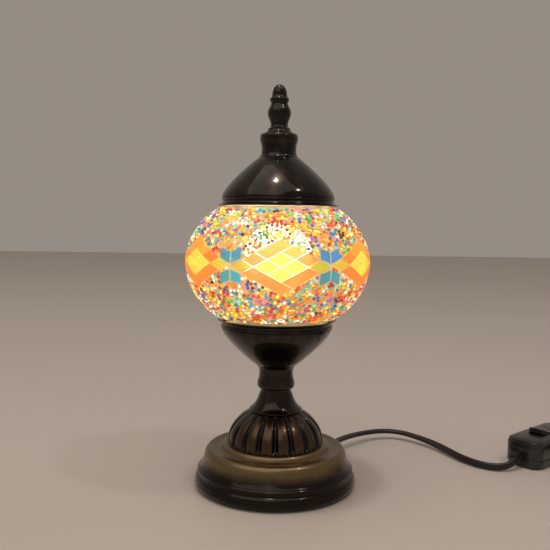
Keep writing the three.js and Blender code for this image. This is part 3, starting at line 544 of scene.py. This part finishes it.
glow_white = Finish("lit_opal_glass", Roughness=0.35, Emission_Strength=26.0)
warmth = glow_white.step(glow_white.height(), neck_foot, bulb_centre)
glow_white.set(
    Base_Color=glow_white.mix(warmth, paint(0.8, 0.7, 0.55), paint(1.0, 0.95, 0.85)),
    Emission_Color=glow_white.mix(warmth, paint(0.35, 0.2, 0.08), paint(1.0, 0.83, 0.55)),
)

ball = arc(0, bulb_centre, bulb_radius - wall, bulb_radius - wall, math.pi / 2, join, 28)
ball[0] = (0, ball[0][1])
line = ball + curve(
    [ball[-1], (bulb_neck - 0.2 * mm, neck_foot + 5 * mm), (bulb_neck - wall, neck_foot)], 10,
)[1:]
edge = (bulb_radius * math.cos(join), bulb_centre + bulb_radius * math.sin(join))
line += curve([(bulb_neck, neck_foot), (bulb_neck + 0.6 * mm, neck_foot + 5 * mm), edge], 10)
line += arc(0, bulb_centre, bulb_radius, bulb_radius, join, math.pi / 2, 32)[1:]
line[-1] = (0, line[-1][1])
points, faces = turn(line, 72)
finish_mesh("bulb_opal_glass", points, faces, glow_white, "bulb", 0, ["bulb_glass"])

cap_low, cap_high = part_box("bulb_cap")
thread_pitch = 2.82 * mm
thread_depth = 0.45 * mm
screw_radius = 6.9 * mm
last_threaded_point = 46


def threaded(angle, index, radius, height):
    """A rounded screw thread on the straight part of the bulb's cap."""
    if not (cap_low.z + 2.2 * mm < height < cap_high.z - 3.6 * mm) or index > last_threaded_point:
        return radius
    phase = 2 * math.pi * height / thread_pitch + angle
    return radius - thread_depth * (0.5 + 0.5 * math.cos(phase))


tall = cap_high.z - cap_low.z
line = [(screw_radius - 3.7 * mm, 0), (screw_radius - 0.9 * mm, 0.4 * mm), (screw_radius, 1.7 * mm)]
straight = tall - 3.3 * mm - 2.0 * mm
line += [(screw_radius, 2.0 * mm + straight * i / 40) for i in range(41)]
line += [(screw_radius + 1.5 * mm, tall - 1.3 * mm), (screw_radius + 1.5 * mm, tall)]
line += [(screw_radius + 0.7 * mm, tall), (screw_radius - 0.9 * mm, tall - 2.7 * mm)]
line += [(screw_radius - 0.9 * mm, 2 * mm), (screw_radius - 3.7 * mm, 1.2 * mm)]
points, faces = turn(raised(line, cap_low.z), 64, threaded)
finish_mesh("bulb_screw_cap", points, faces, brass, "bulb", 40, ["bulb_cap"])
refinish(moulding, "bulb_insulator")
refinish(brass, "bulb_contact")

clear_glass = plain_finish(
    "clear_glass", paint(0.86, 0.84, 0.78), paint(0.95, 0.93, 0.88), 20 * mm, 0.04, 0.03, 0.01 * mm,
    Alpha=0.3,
)
refinish(clear_glass, "bulb_stem")
hot_wire = plain_finish(
    "hot_wire", paint(1.0, 0.6, 0.25), paint(1.0, 0.8, 0.5), 1 * mm, 0.5, 0.1, 0.01 * mm,
    Emission_Color=paint(1.0, 0.75, 0.4), Emission_Strength=20.0,
)
refinish(hot_wire, "filament")

# ---------------------------------------------------------------- glass ball
# A blown, squashed ball of clear glass with a short neck at each end.

globe_low, globe_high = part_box("globe_glass")
globe_middle = (globe_low.z + globe_high.z) / 2
mosaic_low, mosaic_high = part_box("bead_field")
mosaic_mouth = (mosaic_high.z - mosaic_low.z) / 2
globe_radius = 60 * mm
globe_half = 47 * mm
glass_radius = globe_high.x
glass_half = globe_half - (globe_radius - glass_radius)
glass_wall = 2.5 * mm
glass_end = (globe_high.z - globe_low.z) / 2
neck_outer = 33.5 * mm
neck_inner = neck_outer - glass_wall


def angle_at(radius, across, up):
    """The angle where an ellipse of half axes across and up has that radius. up is not used."""
    return math.acos(radius / across)


outer_turn = angle_at(neck_outer, glass_radius, glass_half)
inner_turn = angle_at(neck_inner, glass_radius - glass_wall, glass_half - glass_wall)
line = [(neck_inner, -glass_end), (neck_outer, -glass_end)]
line += arc(0, 0, glass_radius, glass_half, -outer_turn, outer_turn, 48)
line += [(neck_outer, glass_end), (neck_inner, glass_end)]
line += arc(0, 0, glass_radius - glass_wall, glass_half - glass_wall, inner_turn, -inner_turn, 48)
points, faces = turn(raised(line, globe_middle), 128)
finish_mesh("ball_blown_glass", points, faces, clear_glass, "globe", 50, ["globe_glass"])

# ---------------------------------------------------------------- mosaic
# Cut coloured glass and seed beads pressed by hand into pale grout on the ball. Six large
# diamonds stand point to point round the middle, with turquoise petals where they meet. The glass
# and the grout carry a painted glow that stands in for the bulb's light shining through them.

grout_depth = 1.15 * mm
mosaic_back = 1.9 * mm
tile_back = 1.1 * mm
tile_gap = 0.55 * mm
tile_edge = 0.3 * mm
diamond_tall = 17.0 * mm
inner_share = 0.24
diamonds = 6
first_turn = math.radians(2)
pattern_lift = 0.8 * mm

colour_chart = {
    "orange": (0.82, 0.22, 0.010), "amber": (0.86, 0.32, 0.015), "yellow": (0.90, 0.58, 0.06),
    "olive": (0.55, 0.46, 0.03), "turquoise": (0.005, 0.28, 0.42), "red": (0.62, 0.035, 0.015),
    "crimson": (0.45, 0.012, 0.07), "pink": (0.72, 0.20, 0.25), "mint": (0.24, 0.58, 0.42),
    "blue": (0.07, 0.10, 0.45), "violet": (0.22, 0.08, 0.38), "white": (0.85, 0.78, 0.62),
    "green": (0.12, 0.36, 0.08), "ink": (0.03, 0.015, 0.03),
}


def on_ball(bearing, rise, depth):
    """A point on the mosaic: bearing from the front in radians, height over its middle, and depth."""
    share = math.sqrt(max(0.0, 1 - (rise / globe_half) ** 2))
    out = Vector((math.sin(bearing) * share / globe_radius, -math.cos(bearing) * share / globe_radius,
                  rise / globe_half**2)).normalized()
    reach = globe_radius * share
    surface = Vector((reach * math.sin(bearing), -reach * math.cos(bearing), rise))
    return surface - out * depth + Vector((0, 0, globe_middle)), out


def glass_with_painted_glow(name, strength, see_through, rough, pale):
    """Glass that carries its own colour in the mesh, with a painted glow that stands in for the bulb's
    light shining through it, stronger where the bulb is near behind it. pale is how much weaker the colour
    of what shows through it is."""
    made = Finish(name, Transmission_Weight=see_through, IOR=1.45, Emission_Strength=strength)
    colour = made.node("VertexColor", {"layer_name": "glass_colour"}, output="Color")
    from_bulb = made.node(
        "VectorMath", {"operation": "DISTANCE"}, {0: made.place(), 1: (0, 0, bulb_centre)}, output="Value",
    )
    # Painted glow: the emission is stronger nearer the bulb, standing in for its light shining through the
    # glass.
    painted_bulb_glow = made.step(from_bulb, 0.066, 0.046, 0.75, 1.15)
    swirl = made.noise(1.3 * mm, 2.0)
    made.set(
        Base_Color=made.mix(pale + swirl * 0.1, colour, paint(1.0, 0.95, 0.85)),
        Emission_Color=made.mix(1.0, colour, painted_bulb_glow * (0.7 + swirl * 0.6), "MULTIPLY"),
        Roughness=rough + swirl * 0.12,
    )
    made.relief(swirl, 0.05 * mm)
    return made


# The tiles and the beads glow with this painted glow of the bulb's light.
tile_glass = glass_with_painted_glow("cut_coloured_glass", 0.5, 0.7, 0.16, 0.18)
bead_glass = glass_with_painted_glow("seed_beads", 0.9, 0.5, 0.1, 0.05)


class Mosaic:
    """Gathers points, faces and colours of many small pieces of glass in one mesh."""

    def __init__(self):
        self.points = []
        self.faces = []
        self.colours = []

    def add(self, points, faces, colour, light=None):
        """light, if given, is how bright each point is: the painted light and shade across a bead."""
        start = len(self.points)
        self.points += points
        self.faces += [tuple(start + corner for corner in face) for face in faces]
        for bright in light or [1.0] * len(points):
            self.colours.append(tuple(min(1.0, part * bright) for part in colour))

    def made(self, name, finish, replaces, slot):
        piece = finish_mesh(name, self.points, self.faces, finish, "globe", 45, replaces)
        layer = piece.data.color_attributes.new("glass_colour", "FLOAT_COLOR", "POINT")
        flat = [part for colour in self.colours for part in (*colour, 1.0)]
        layer.data.foreach_set("color", flat)
        return piece


def shrunk(corners, gap):
    """The corners of a convex outline moved in by gap. Corners are (along, up) in metres."""
    count = len(corners)
    moved = []
    for i, corner in enumerate(corners):
        before, after = Vector(corners[i - 1]), Vector(corners[(i + 1) % count])
        here = Vector(corner)
        into, out = (here - before).normalized(), (after - here).normalized()
        normal_in, normal_out = Vector((-into.y, into.x)), Vector((-out.y, out.x))
        spread = 1 + normal_in.dot(normal_out)
        moved.append(here + (normal_in + normal_out) * (gap / max(spread, 0.25)))
    return moved


def tile(corners, bearing, lift, steps=6):
    """Points and faces of a four-sided tile, its corners anticlockwise as seen from outside."""
    layers = [(0.0, 0.1 * mm + tile_edge), (tile_edge, 0.12 * mm), (0.0, tile_back)]
    sheets = []
    for inset, depth in layers:
        a, b, c, d = shrunk(corners, tile_gap / 2 + inset)
        grid = []
        for row in range(steps + 1):
            for column in range(steps + 1):
                u, v = column / steps, row / steps
                spot = a * (1 - u) * (1 - v) + b * u * (1 - v) + c * u * v + d * (1 - u) * v
                grid.append(on_ball(bearing + spot.x / globe_radius, spot.y + lift, depth)[0])
        sheets.append(grid)
    across = steps + 1
    size = across * across
    edge = [i for i in range(across)] + [row * across + steps for row in range(1, across)]
    edge += [steps * across + i for i in range(steps - 1, -1, -1)]
    edge += [row * across for row in range(steps - 1, 0, -1)]
    points = [p for grid in (sheets[1], sheets[2]) for p in grid] + [sheets[0][i] for i in edge]
    faces = []
    for row in range(steps):
        for column in range(steps):
            i = row * across + column
            faces.append((i, i + 1, i + across + 1, i + across))
            faces.append((size + i, size + i + across, size + i + across + 1, size + i + 1))
    rim = 2 * size
    for k, i in enumerate(edge):
        following = (k + 1) % len(edge)
        j = edge[following]
        faces.append((rim + k, rim + following, j, i))
        faces.append((size + i, size + j, rim + following, rim + k))
    return [tuple(p) for p in points], faces


def diamond_spot(a, b, half_wide, tall):
    """A point of the diamond: a runs from its left tip to its top, b from its left tip to its foot."""
    return Vector(((a + b - 1) * half_wide, (a - b) * tall))


shade = random.Random(7)


def tinted(name, spread=0.1):
    return tuple(min(1.0, part * shade.uniform(1 - spread, 1 + spread)) for part in colour_chart[name])


low_share, high_share = inner_share, 1 - inner_share
# Each tile of a diamond: the start and end of a, the start and end of b, and its colour.
diamond_tiles = [
    (0, low_share, 0, low_share, "olive"),
    (high_share, 1, high_share, 1, "olive"),
    (low_share, 0.5, 0, low_share, "orange"),
    (0.5, 1, 0, low_share, "amber"),
    (high_share, 1, 0.5, high_share, "orange"),
    (high_share, 1, low_share, 0.5, "amber"),
    (0, low_share, low_share, 1, "orange"),
    (low_share, high_share, high_share, 1, "orange"),
    (low_share, 0.5, low_share, 0.5, "yellow"),
    (0.5, high_share, low_share, 0.5, "yellow"),
    (low_share, 0.5, 0.5, high_share, "yellow"),
    (0.5, high_share, 0.5, high_share, "yellow"),
]
half_wide = math.pi / diamonds * globe_radius
hand_laid = [(0.0, 1.0), (0.8, 0.93), (-0.5, 1.02), (0.4, 0.98), (-0.7, 1.0), (1.1, 0.95)]

laid_outlines = []
for number in range(diamonds):
    drift, stretch = hand_laid[number]
    bearing = first_turn + number * 2 * math.pi / diamonds
    tall_here = diamond_tall * stretch
    lift = pattern_lift + drift * mm
    panel = Mosaic()
    for a_low, a_high, b_low, b_high, name in diamond_tiles:
        ends = [(a_low, b_high), (a_high, b_high), (a_high, b_low), (a_low, b_low)]
        corners = [diamond_spot(a, b, half_wide, tall_here) for a, b in ends]
        panel.add(*tile(corners, bearing, lift, 8), tinted(name))
    laid_outlines.append((bearing, lift, tall_here))
    panel.made(f"diamond_tiles_{number + 1}", tile_glass, [f"tile_medallion_{number + 1}"], "tiles")

# The petals: two above and two below each place where two diamonds meet.
petal_wide = 7.2 * mm
petal_tall = 7.0 * mm
petal_lean = 2.6 * mm
petal_start = 1.7 * mm
petals = Mosaic()
petal_outlines = []
for number in range(diamonds):
    bearing = first_turn + (number + 0.5) * 2 * math.pi / diamonds
    for up in (1, -1):
        for side in (1, -1):
            inner_low = (side * 0.25 * mm, up * petal_start)
            inner_high = (side * 0.25 * mm, up * (petal_start + petal_tall))
            outer_low = (side * petal_wide, up * (petal_start + petal_lean))
            outer_high = (side * petal_wide, up * (petal_start + petal_tall + petal_lean))
            corners = [inner_low, outer_low, outer_high, inner_high]
            if side * up < 0:
                corners.reverse()
            petals.add(*tile(corners, bearing, pattern_lift, 5), tinted("turquoise", 0.25))
            petal_outlines.append((bearing, corners))

bead_radius = 1.2 * mm
bead_spacing = 1.84 * mm
bead_depth = 1.0 * mm
bead_tries = 60000
bead_sides = 8
# Half the section of a bead, from the dimple of its hole outwards: radius, height and brightness.
# The brightness is painted light and shade: painted light at the dimple and on the crown, painted
# shade towards the edge.
bead_rings = [(0.0, 0.0, 1.5), (0.3, 0.3, 0.75), (0.62, 0.5, 1.15), (0.92, 0.2, 0.8), (0.95, -0.3, 0.12)]
field_half = mosaic_mouth - 1.0 * mm
field_colours = {
    "orange": 15, "yellow": 20, "amber": 12, "red": 9, "crimson": 6, "pink": 5, "turquoise": 9, "mint": 11,
    "blue": 5, "violet": 4, "white": 14, "green": 4, "ink": 3,
}
cluster_size = 5 * mm
cluster_share = 0.6


def bearing_gap(first, second):
    return (first - second + math.pi) % (2 * math.pi) - math.pi


def in_diamond(bearing, rise):
    for centre, lift, tall_here in laid_outlines:
        along = abs(bearing_gap(bearing, centre)) * globe_radius
        if along / (half_wide + 1.6 * mm) + abs(rise - lift) / (tall_here + 0.9 * mm) < 1:
            return True
    return False


def in_petal(bearing, rise):
    margin = 0.75 * mm
    for centre, corners in petal_outlines:
        spot = Vector((bearing_gap(bearing, centre) * globe_radius, rise - pattern_lift))
        if abs(spot.x) > 12 * mm or abs(spot.y) > 16 * mm:
            continue
        inside = True
        for i, corner in enumerate(corners):
            before = Vector(corners[i - 1])
            edge = (Vector(corner) - before).normalized()
            if edge.x * (spot.y - before.y) - edge.y * (spot.x - before.x) < -margin:
                inside = False
        if inside:
            return True
    return False


def bead_places():
    """Places strewn at random over the field, none nearer to another than the spacing."""
    taken = {}
    places = []
    for _ in range(bead_tries):
        bearing = shade.uniform(0, 2 * math.pi)
        rise = shade.uniform(-field_half, field_half)
        if shade.random() > math.sqrt(max(0.05, 1 - (rise / globe_half) ** 2)):
            continue
        if in_diamond(bearing, rise) or in_petal(bearing, rise):
            continue
        point, out = on_ball(bearing, rise, bead_depth)
        cell = tuple(int(part // bead_spacing) for part in point)
        near = [
            other for x in (-1, 0, 1) for y in (-1, 0, 1) for z in (-1, 0, 1)
            for other in taken.get((cell[0] + x, cell[1] + y, cell[2] + z), ())
        ]
        if all((point - other).length > bead_spacing for other in near):
            taken.setdefault(cell, []).append(point)
            places.append((point, out))
    return places


def bead(place, out):
    """A seed bead pressed into the grout, its hole more or less outwards, with painted light at its dimple
    and crown and painted shade darker towards its edge.
    """
    tilt = Vector((shade.gauss(0, 1), shade.gauss(0, 1), shade.gauss(0, 1))).normalized()
    upright = (out + tilt * 0.35).normalized()
    turned_to = upright.to_track_quat("Z", "X").to_matrix()
    size = bead_radius * shade.uniform(0.85, 1.05)
    points, light, faces = [], [], []
    for radius, height, bright in bead_rings:
        sides = bead_sides if radius else 1
        for side in range(sides):
            angle = 2 * math.pi * side / bead_sides
            spot = Vector((radius * math.cos(angle), radius * math.sin(angle), height)) * size
            points.append(tuple(place + turned_to @ spot))
            light.append(bright)
    for side in range(bead_sides):
        beside = (side + 1) % bead_sides
        faces.append((0, 1 + side, 1 + beside))
        for ring in range(len(bead_rings) - 2):
            here = 1 + ring * bead_sides
            faces.append((here + side, here + bead_sides + side, here + bead_sides + beside, here + beside))
    last = 1 + (len(bead_rings) - 2) * bead_sides
    faces.append(tuple(last + side for side in reversed(range(bead_sides))))
    return points, faces, light


def bead_colours():
    """The colour of a place: mostly its small patch's own, otherwise any."""
    names, weights = list(field_colours), list(field_colours.values())
    patches = {}

    def colour(point):
        patch = tuple(int(part // cluster_size) for part in point)
        patches.setdefault(patch, shade.choices(names, weights)[0])
        name = patches[patch] if shade.random() < cluster_share else shade.choices(names, weights)[0]
        glow = shade.uniform(0.65, 1.35)
        return tuple(part * glow for part in tinted(name, 0.15))

    return colour


beads = Mosaic()
colour_at = bead_colours()
for point, out in bead_places():
    # Each bead's colour is scaled ring by ring with painted light and shade.
    shape_of_bead, faces_of_bead, painted_shading_of_bead = bead(point, out)
    beads.add(shape_of_bead, faces_of_bead, colour_at(point), painted_shading_of_bead)
petals.made("petal_tiles", tile_glass, [], "tiles")
beads.made("seed_beads", bead_glass, [], "beads")

# The grout's emission is a painted glow that stands in for the bulb's light shining through it.
grout = Finish("pale_grout", Roughness=0.75, Emission_Strength=0.3, Alpha=0.6)
sand = grout.noise(0.6 * mm, 5.0)
blotch = grout.noise(11 * mm, 2.0)
grout.set(
    Base_Color=grout.mix(blotch, paint(0.40, 0.27, 0.14), paint(0.62, 0.45, 0.28)),
    Emission_Color=grout.mix(sand, paint(0.55, 0.30, 0.10), paint(1.0, 0.72, 0.34)),
)
grout.relief(sand, 0.12 * mm)
back_radius, back_half = globe_radius - mosaic_back, globe_half - mosaic_back
front_radius, front_half = globe_radius - grout_depth, globe_half - grout_depth
front_turn = math.asin(mosaic_mouth / front_half)
back_turn = math.asin(mosaic_mouth / back_half)
line = arc(0, 0, front_radius, front_half, -front_turn, front_turn, 64)
line += arc(0, 0, back_radius, back_half, back_turn, -back_turn, 64)
points, faces = turn(raised(line, globe_middle), 180)
finish_mesh("mosaic_grout", points, faces, grout, "globe", 50, ["bead_field"])

# ---------------------------------------------------------------- cap and finial
# The cap is the lower cup's spinning turned over. A collar and a turned finial screw down on
# it, and three springy legs inside it grip the neck of the ball.


def turned_over(outline, top):
    return [(radius, top - height) for radius, height in reversed(outline)]


points, faces = turn(turned_over(spun_cup(3.4 * mm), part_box("cap_shell")[1].z), 160)
finish_mesh("cap_spun_shell", points, faces, bronze, "cap", 40, ["cap_shell"])
points, faces = turn(turned_over(collar(3.4 * mm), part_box("cap_collar")[1].z), 96)
finish_mesh("cap_turned_collar", points, faces, bronze, "cap", 40, ["cap_collar"])

finial_low, finial_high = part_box("finial")
foot_radius = 8.8 * mm
belly = 7.55 * mm
tall = finial_high.z - finial_low.z
line = [(0, foot_radius), (3.4 * mm, foot_radius), (3.4 * mm, 0), (foot_radius, 0)]
line += curve(
    [(foot_radius, 0.3 * mm), (foot_radius, 0.9 * mm), (7.3 * mm, 1.1 * mm), (7.2 * mm, 2.8 * mm)], 8,
)
line += curve(
    [(7.2 * mm, 2.9 * mm), (4.4 * mm, 4.2 * mm), (5.2 * mm, 7.6 * mm), (belly, 9.5 * mm),
     (belly, 12.7 * mm)], 14,
)
line += curve(
    [(belly, 12.7 * mm), (belly + 0.1 * mm, 16 * mm), (5.3 * mm, 17 * mm), (5.5 * mm, 19.6 * mm)], 14,
)[1:]
line += curve([(5.8 * mm, 20 * mm), (6.5 * mm, 20.7 * mm), (6.3 * mm, 22.2 * mm), (5.3 * mm, 22.7 * mm)], 8)
line += curve([(4.9 * mm, 24 * mm), (4.6 * mm, 28 * mm), (3.2 * mm, tall), (0, tall)], 14)
line[-1] = (0, tall)
points, faces = turn(raised(line, finial_low.z), 72)
finish_mesh("finial_turned", points, faces, bronze, "cap", 40, ["finial"])
refinish(steel, "cap_stud", "cap_nut", "cap_spider")

# ---------------------------------------------------------------- cord
# A flat twin cord about 1.8 m long. It leaves the base through a rubber sleeve, lies out to a
# switch, and the rest is wound up in a tied coil that ends in the plug.

cord_width = 5.2 * mm
lead_radius = 1.6 * mm
lead_gap = 1.0 * mm
exit_bearing = math.radians(55)
exit_height = 8.2 * mm
sleeve_reach = 75.2 * mm

lamp_side = [
    (0.0506, 0.0724, 0.0080), (0.0581, 0.0816, 0.0076), (0.0700, 0.0926, 0.0069), (0.0820, 0.0996, 0.0064),
    (0.0920, 0.1012, 0.0061), (0.1010, 0.0986, 0.0058), (0.1090, 0.0919, 0.0054), (0.1170, 0.0830, 0.0048),
    (0.1241, 0.0724, 0.0041), (0.1302, 0.0592, 0.0036), (0.1369, 0.0456, 0.0031), (0.1450, 0.0349, 0.0029),
    (0.1540, 0.0290, 0.0029), (0.1620, 0.0276, 0.0038), (0.1680, 0.0299, 0.0056),
]

switch_entry = Vector((0.176, 0.0365, 0.007))
switch_bearing = math.radians(42)
switch_heading = Vector((math.cos(switch_bearing), math.sin(switch_bearing), 0))
switch_length = 62 * mm

coil_centre = Vector((0.274, 0.0676, 0))
lane_pitch = cord_width
coil_radius = 27 * mm
coil_foot = 1.2 * mm
lane_sweep = math.radians(335)
change_sweep = math.radians(25)
coil_step = math.radians(20)
# The lanes in winding order: how far out from the middle lane, and how high.
winding = [(1, 0), (0, 0), (-1, 0), (-1, 1), (-1, 2), (0, 2), (0, 1), (1, 1), (1, 2)]


def coil_point(swept):
    """A point of the coil after that much of a clockwise turn from its far side."""
    lane = min(int(swept / lane_sweep), len(winding) - 1)
    radius, height = winding[lane]
    beyond = swept - (lane + 1) * lane_sweep
    before = swept - lane * lane_sweep
    if lane + 1 < len(winding) and beyond > -change_sweep / 2:
        share = 0.5 + beyond / change_sweep
        following = winding[lane + 1]
    elif lane > 0 and before < change_sweep / 2:
        share = 0.5 - before / change_sweep
        following = winding[lane - 1]
    else:
        share, following = 0, winding[lane]
    share = share * share * (3 - 2 * share)
    radius = radius + (following[0] - radius) * share
    height = height + (following[1] - height) * share
    angle = math.pi / 2 - swept
    reach = coil_radius + radius * lane_pitch
    return coil_centre + Vector((reach * math.cos(angle), reach * math.sin(angle),
                                 coil_foot + (height + 0.5) * lane_pitch))


def smooth_path(points, between):
    """A centripetal Catmull-Rom curve through the points, with that many steps between each two."""
    knots = [points[0] * 2 - points[1], *points, points[-1] * 2 - points[-2]]
    path = []
    for p0, p1, p2, p3 in zip(knots, knots[1:], knots[2:], knots[3:]):
        t1 = math.sqrt((p1 - p0).length)
        t2 = t1 + math.sqrt((p2 - p1).length)
        t3 = t2 + math.sqrt((p3 - p2).length)
        for step in range(between):
            t = t1 + (t2 - t1) * step / between
            a1 = p0 * ((t1 - t) / t1) + p1 * (t / t1)
            a2 = p1 * ((t2 - t) / (t2 - t1)) + p2 * ((t - t1) / (t2 - t1))
            a3 = p2 * ((t3 - t) / (t3 - t2)) + p3 * ((t - t2) / (t3 - t2))
            b1 = a1 * ((t2 - t) / t2) + a2 * (t / t2)
            b2 = a2 * ((t3 - t) / (t3 - t1)) + a3 * ((t - t1) / (t3 - t1))
            path.append(b1 * ((t2 - t) / (t2 - t1)) + b2 * ((t - t1) / (t2 - t1)))
    return path + [points[-1]]


def path_length(path):
    return sum((there - here).length for here, there in zip(path, path[1:]))


def twin_section():
    """The outline of two joined round leads, as (across, through) points."""
    meet = math.acos(-lead_gap / lead_radius)
    right = arc(lead_gap, 0, lead_radius, lead_radius, -meet, meet, 9)[:-1]
    return right + [(-across, -through) for across, through in right]


def flat_cord(name, path, edge_share, finish):
    """A twin cord along a path. edge_share says, for the share of the length run, how far the cord
    has turned from lying flat, 0, to standing on its edge, 1."""
    section = twin_section()
    count = len(section)
    points = []
    for i, place in enumerate(path):
        before, after = path[max(i - 1, 0)], path[min(i + 1, len(path) - 1)]
        ahead = (after - before).normalized()
        level = Vector((0, 0, 1)).cross(ahead).normalized()
        upright = ahead.cross(level)
        tilt = edge_share(i / (len(path) - 1)) * math.pi / 2
        wide = level * math.cos(tilt) + upright * math.sin(tilt)
        thin = ahead.cross(wide)
        points += [tuple(place + wide * across + thin * through) for across, through in section]
    faces = []
    for ring in range(len(path) - 1):
        for k in range(count):
            here, beside = ring * count + k, ring * count + (k + 1) % count
            faces.append((here, beside, beside + count, here + count))
    faces.append(tuple(reversed(range(count))))
    faces.append(tuple(range((len(path) - 1) * count, len(path) * count)))
    return finish_mesh(name, points, faces, finish, "stand", 60, [])


exit_heading = Vector((math.cos(exit_bearing), math.sin(exit_bearing), 0))
sleeve_mouth = exit_heading * sleeve_reach + Vector((0, 0, exit_height))
lamp_points = [sleeve_mouth - exit_heading * (2.2 * mm), sleeve_mouth + exit_heading * (0.3 * mm)]
lamp_points += [Vector(point) for point in lamp_side]
lamp_points += [switch_entry - switch_heading * (4 * mm), switch_entry + switch_heading * (0.8 * mm)]
lamp_path = smooth_path(lamp_points, 6)


def lamp_side_edge(share):
    ramp = min(1, max(0, (share - 0.42) / 0.33))
    return ramp * ramp * (3 - 2 * ramp) * (1 if share < 0.9 else 1 - (share - 0.9) / 0.1)


flex = flat_cord("flat_cord_to_switch", lamp_path, lamp_side_edge, cord_skin)
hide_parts("lamp_cord")

switch_exit = switch_entry + switch_heading * switch_length
supply_points = [switch_exit - switch_heading * (0.8 * mm), switch_exit + switch_heading * (0.6 * mm)]
supply_points += [Vector(point) for point in [
    (0.2270, 0.0823, 0.0064), (0.2330, 0.0872, 0.0054), (0.2400, 0.0922, 0.0045), (0.2476, 0.0966, 0.0040),
]]
supply_points.append(coil_point(0) + Vector((-19.7 * mm, -0.4 * mm, 0)))
coil_sweep = lane_sweep * len(winding)
coil_count = round(coil_sweep / coil_step)
supply_points += [coil_point(coil_sweep * i / coil_count) for i in range(coil_count + 1)]
plug_heading = Vector((-math.sqrt(0.5), -math.sqrt(0.5), 0))
coil_leave = coil_point(coil_sweep)
# The run down to the plug: how far from the coil, and how high.
plug_run = [(0.0100, 0.0129), (0.0197, 0.0104), (0.0247, 0.0083), (0.0305, 0.00695), (0.0370, 0.00685)]
for run, height in plug_run:
    supply_points.append(coil_leave + plug_heading * run + Vector((0, 0, height - coil_leave.z)))
supply_path = smooth_path(supply_points, 3)


def supply_side_edge(share):
    return min(1, share / 0.015) * min(1, (1 - share) / 0.02)


supply = flat_cord("flat_cord_to_plug", supply_path, supply_side_edge, cord_skin)
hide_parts("supply_cord", "cord_coil", "plug_cord")

sleeve_face = base_radius + 1.0 * mm
half_cord = cord_width / 2


def sleeve_line():
    """The sleeve in its hole: locking ring, neck, flange, and a ribbed taper with an open mouth."""
    neck = half_cord + 0.9 * mm
    start, mouth = base_radius - 7.4 * mm, sleeve_reach
    line = [(0, start), (neck + 0.8 * mm, start), (neck + 0.8 * mm, start + 1.3 * mm)]
    line += [(neck, start + 1.4 * mm)]
    line += [(neck, sleeve_face), (neck + 1.2 * mm, sleeve_face), (neck + 1.4 * mm, sleeve_face + 0.5 * mm)]
    line += [(neck + 1.4 * mm, sleeve_face + 1.6 * mm), (neck + 1.1 * mm, sleeve_face + 2 * mm)]
    ribs = 8
    long = mouth - 1 * mm - sleeve_face - 2 * mm
    for i in range(ribs):
        for part, inset in ((0.0, 0.0), (0.55, 0.0), (0.62, 0.45 * mm), (0.93, 0.45 * mm)):
            share = (i + part) / ribs
            radius = neck + 1.0 * mm + (half_cord + 0.45 * mm - neck - 1.0 * mm) * share
            line.append((radius - inset, sleeve_face + 2 * mm + long * share))
    line += [(half_cord + 0.45 * mm, mouth - 0.3 * mm), (half_cord + 0.2 * mm, mouth)]
    line += [(half_cord + 0.05 * mm, mouth), (half_cord + 0.05 * mm, mouth - 3 * mm), (0, mouth - 3 * mm)]
    return line


def swung(points, matrix):
    return [tuple(matrix @ Vector(point)) for point in points]


points, faces = turn(sleeve_line(), 32)
outward = Matrix.Translation((0, 0, exit_height)) @ Matrix.Rotation(exit_bearing, 4, "Z") @ Matrix.Rotation(
    math.pi / 2, 4, "Y")
finish_mesh("cord_sleeve", swung(points, outward), faces, rubber, "stand", 35, ["cord_relief"])

# ---------------------------------------------------------------- cord switch and plug
# A moulded two-part rocker switch, a tie round the coil, and a moulded plug with two round
# pins. Their edges are softened as a mould leaves them.


def softened(name, node, finish, body, width, segments=2):
    """A copy of a CAD node's mesh with its edges rounded by width, standing for that node."""
    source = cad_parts[node]
    mesh = source.data.copy()
    mesh.materials.clear()
    mesh.materials.append(finish.material)
    piece = bpy.data.objects.new(name, mesh)
    bpy.context.scene.collection.objects.link(piece)
    weld = piece.modifiers.new("weld", "WELD")
    weld.merge_threshold = 0.01 * mm
    soften = piece.modifiers.new("soften", "BEVEL")
    soften.width = width
    soften.segments = segments
    soften.limit_method = "ANGLE"
    soften.angle_limit = math.radians(35)
    bpy.context.view_layer.update()
    shaped = bpy.data.meshes.new_from_object(piece.evaluated_get(bpy.context.evaluated_depsgraph_get()))
    piece.modifiers.clear()
    piece.data = shaped
    shaped.name = name
    shaped.shade_smooth()
    shaped.set_sharp_from_angle(angle=math.radians(45))
    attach(piece, body)
    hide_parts(node)
    return piece


gloss_plastic = plain_finish(
    "gloss_plastic", paint(0.010, 0.008, 0.007), paint(0.018, 0.014, 0.012), 1.4 * mm, 0.2, 0.12,
    0.015 * mm, Coat_Weight=0.3, Coat_Roughness=0.1,
)
plug_plastic = plain_finish(
    "plug_plastic", paint(0.012, 0.010, 0.009), paint(0.02, 0.017, 0.015), 1.4 * mm, 0.32, 0.15, 0.02 * mm,
)
switch_shell = softened("switch_lower_shell", "switch_base", gloss_plastic, "stand", 0.45 * mm)
switch_lid = softened("switch_upper_shell", "switch_cover", gloss_plastic, "stand", 0.45 * mm)
softened("switch_rocker", "rocker", gloss_plastic, "rocker", 0.4 * mm)
refinish(steel, "rocker_pin", "switch_screw_1", "switch_screw_2")
refinish(brass, "switch_contact", "plug_pin_1", "plug_pin_2")
plug = softened("plug_moulding", "plug_body", plug_plastic, "stand", 0.5 * mm)
tie = softened("coil_strap", "coil_tie", gloss_plastic, "stand", 0.2 * mm)

path_length(lamp_path)
path_length(supply_path)
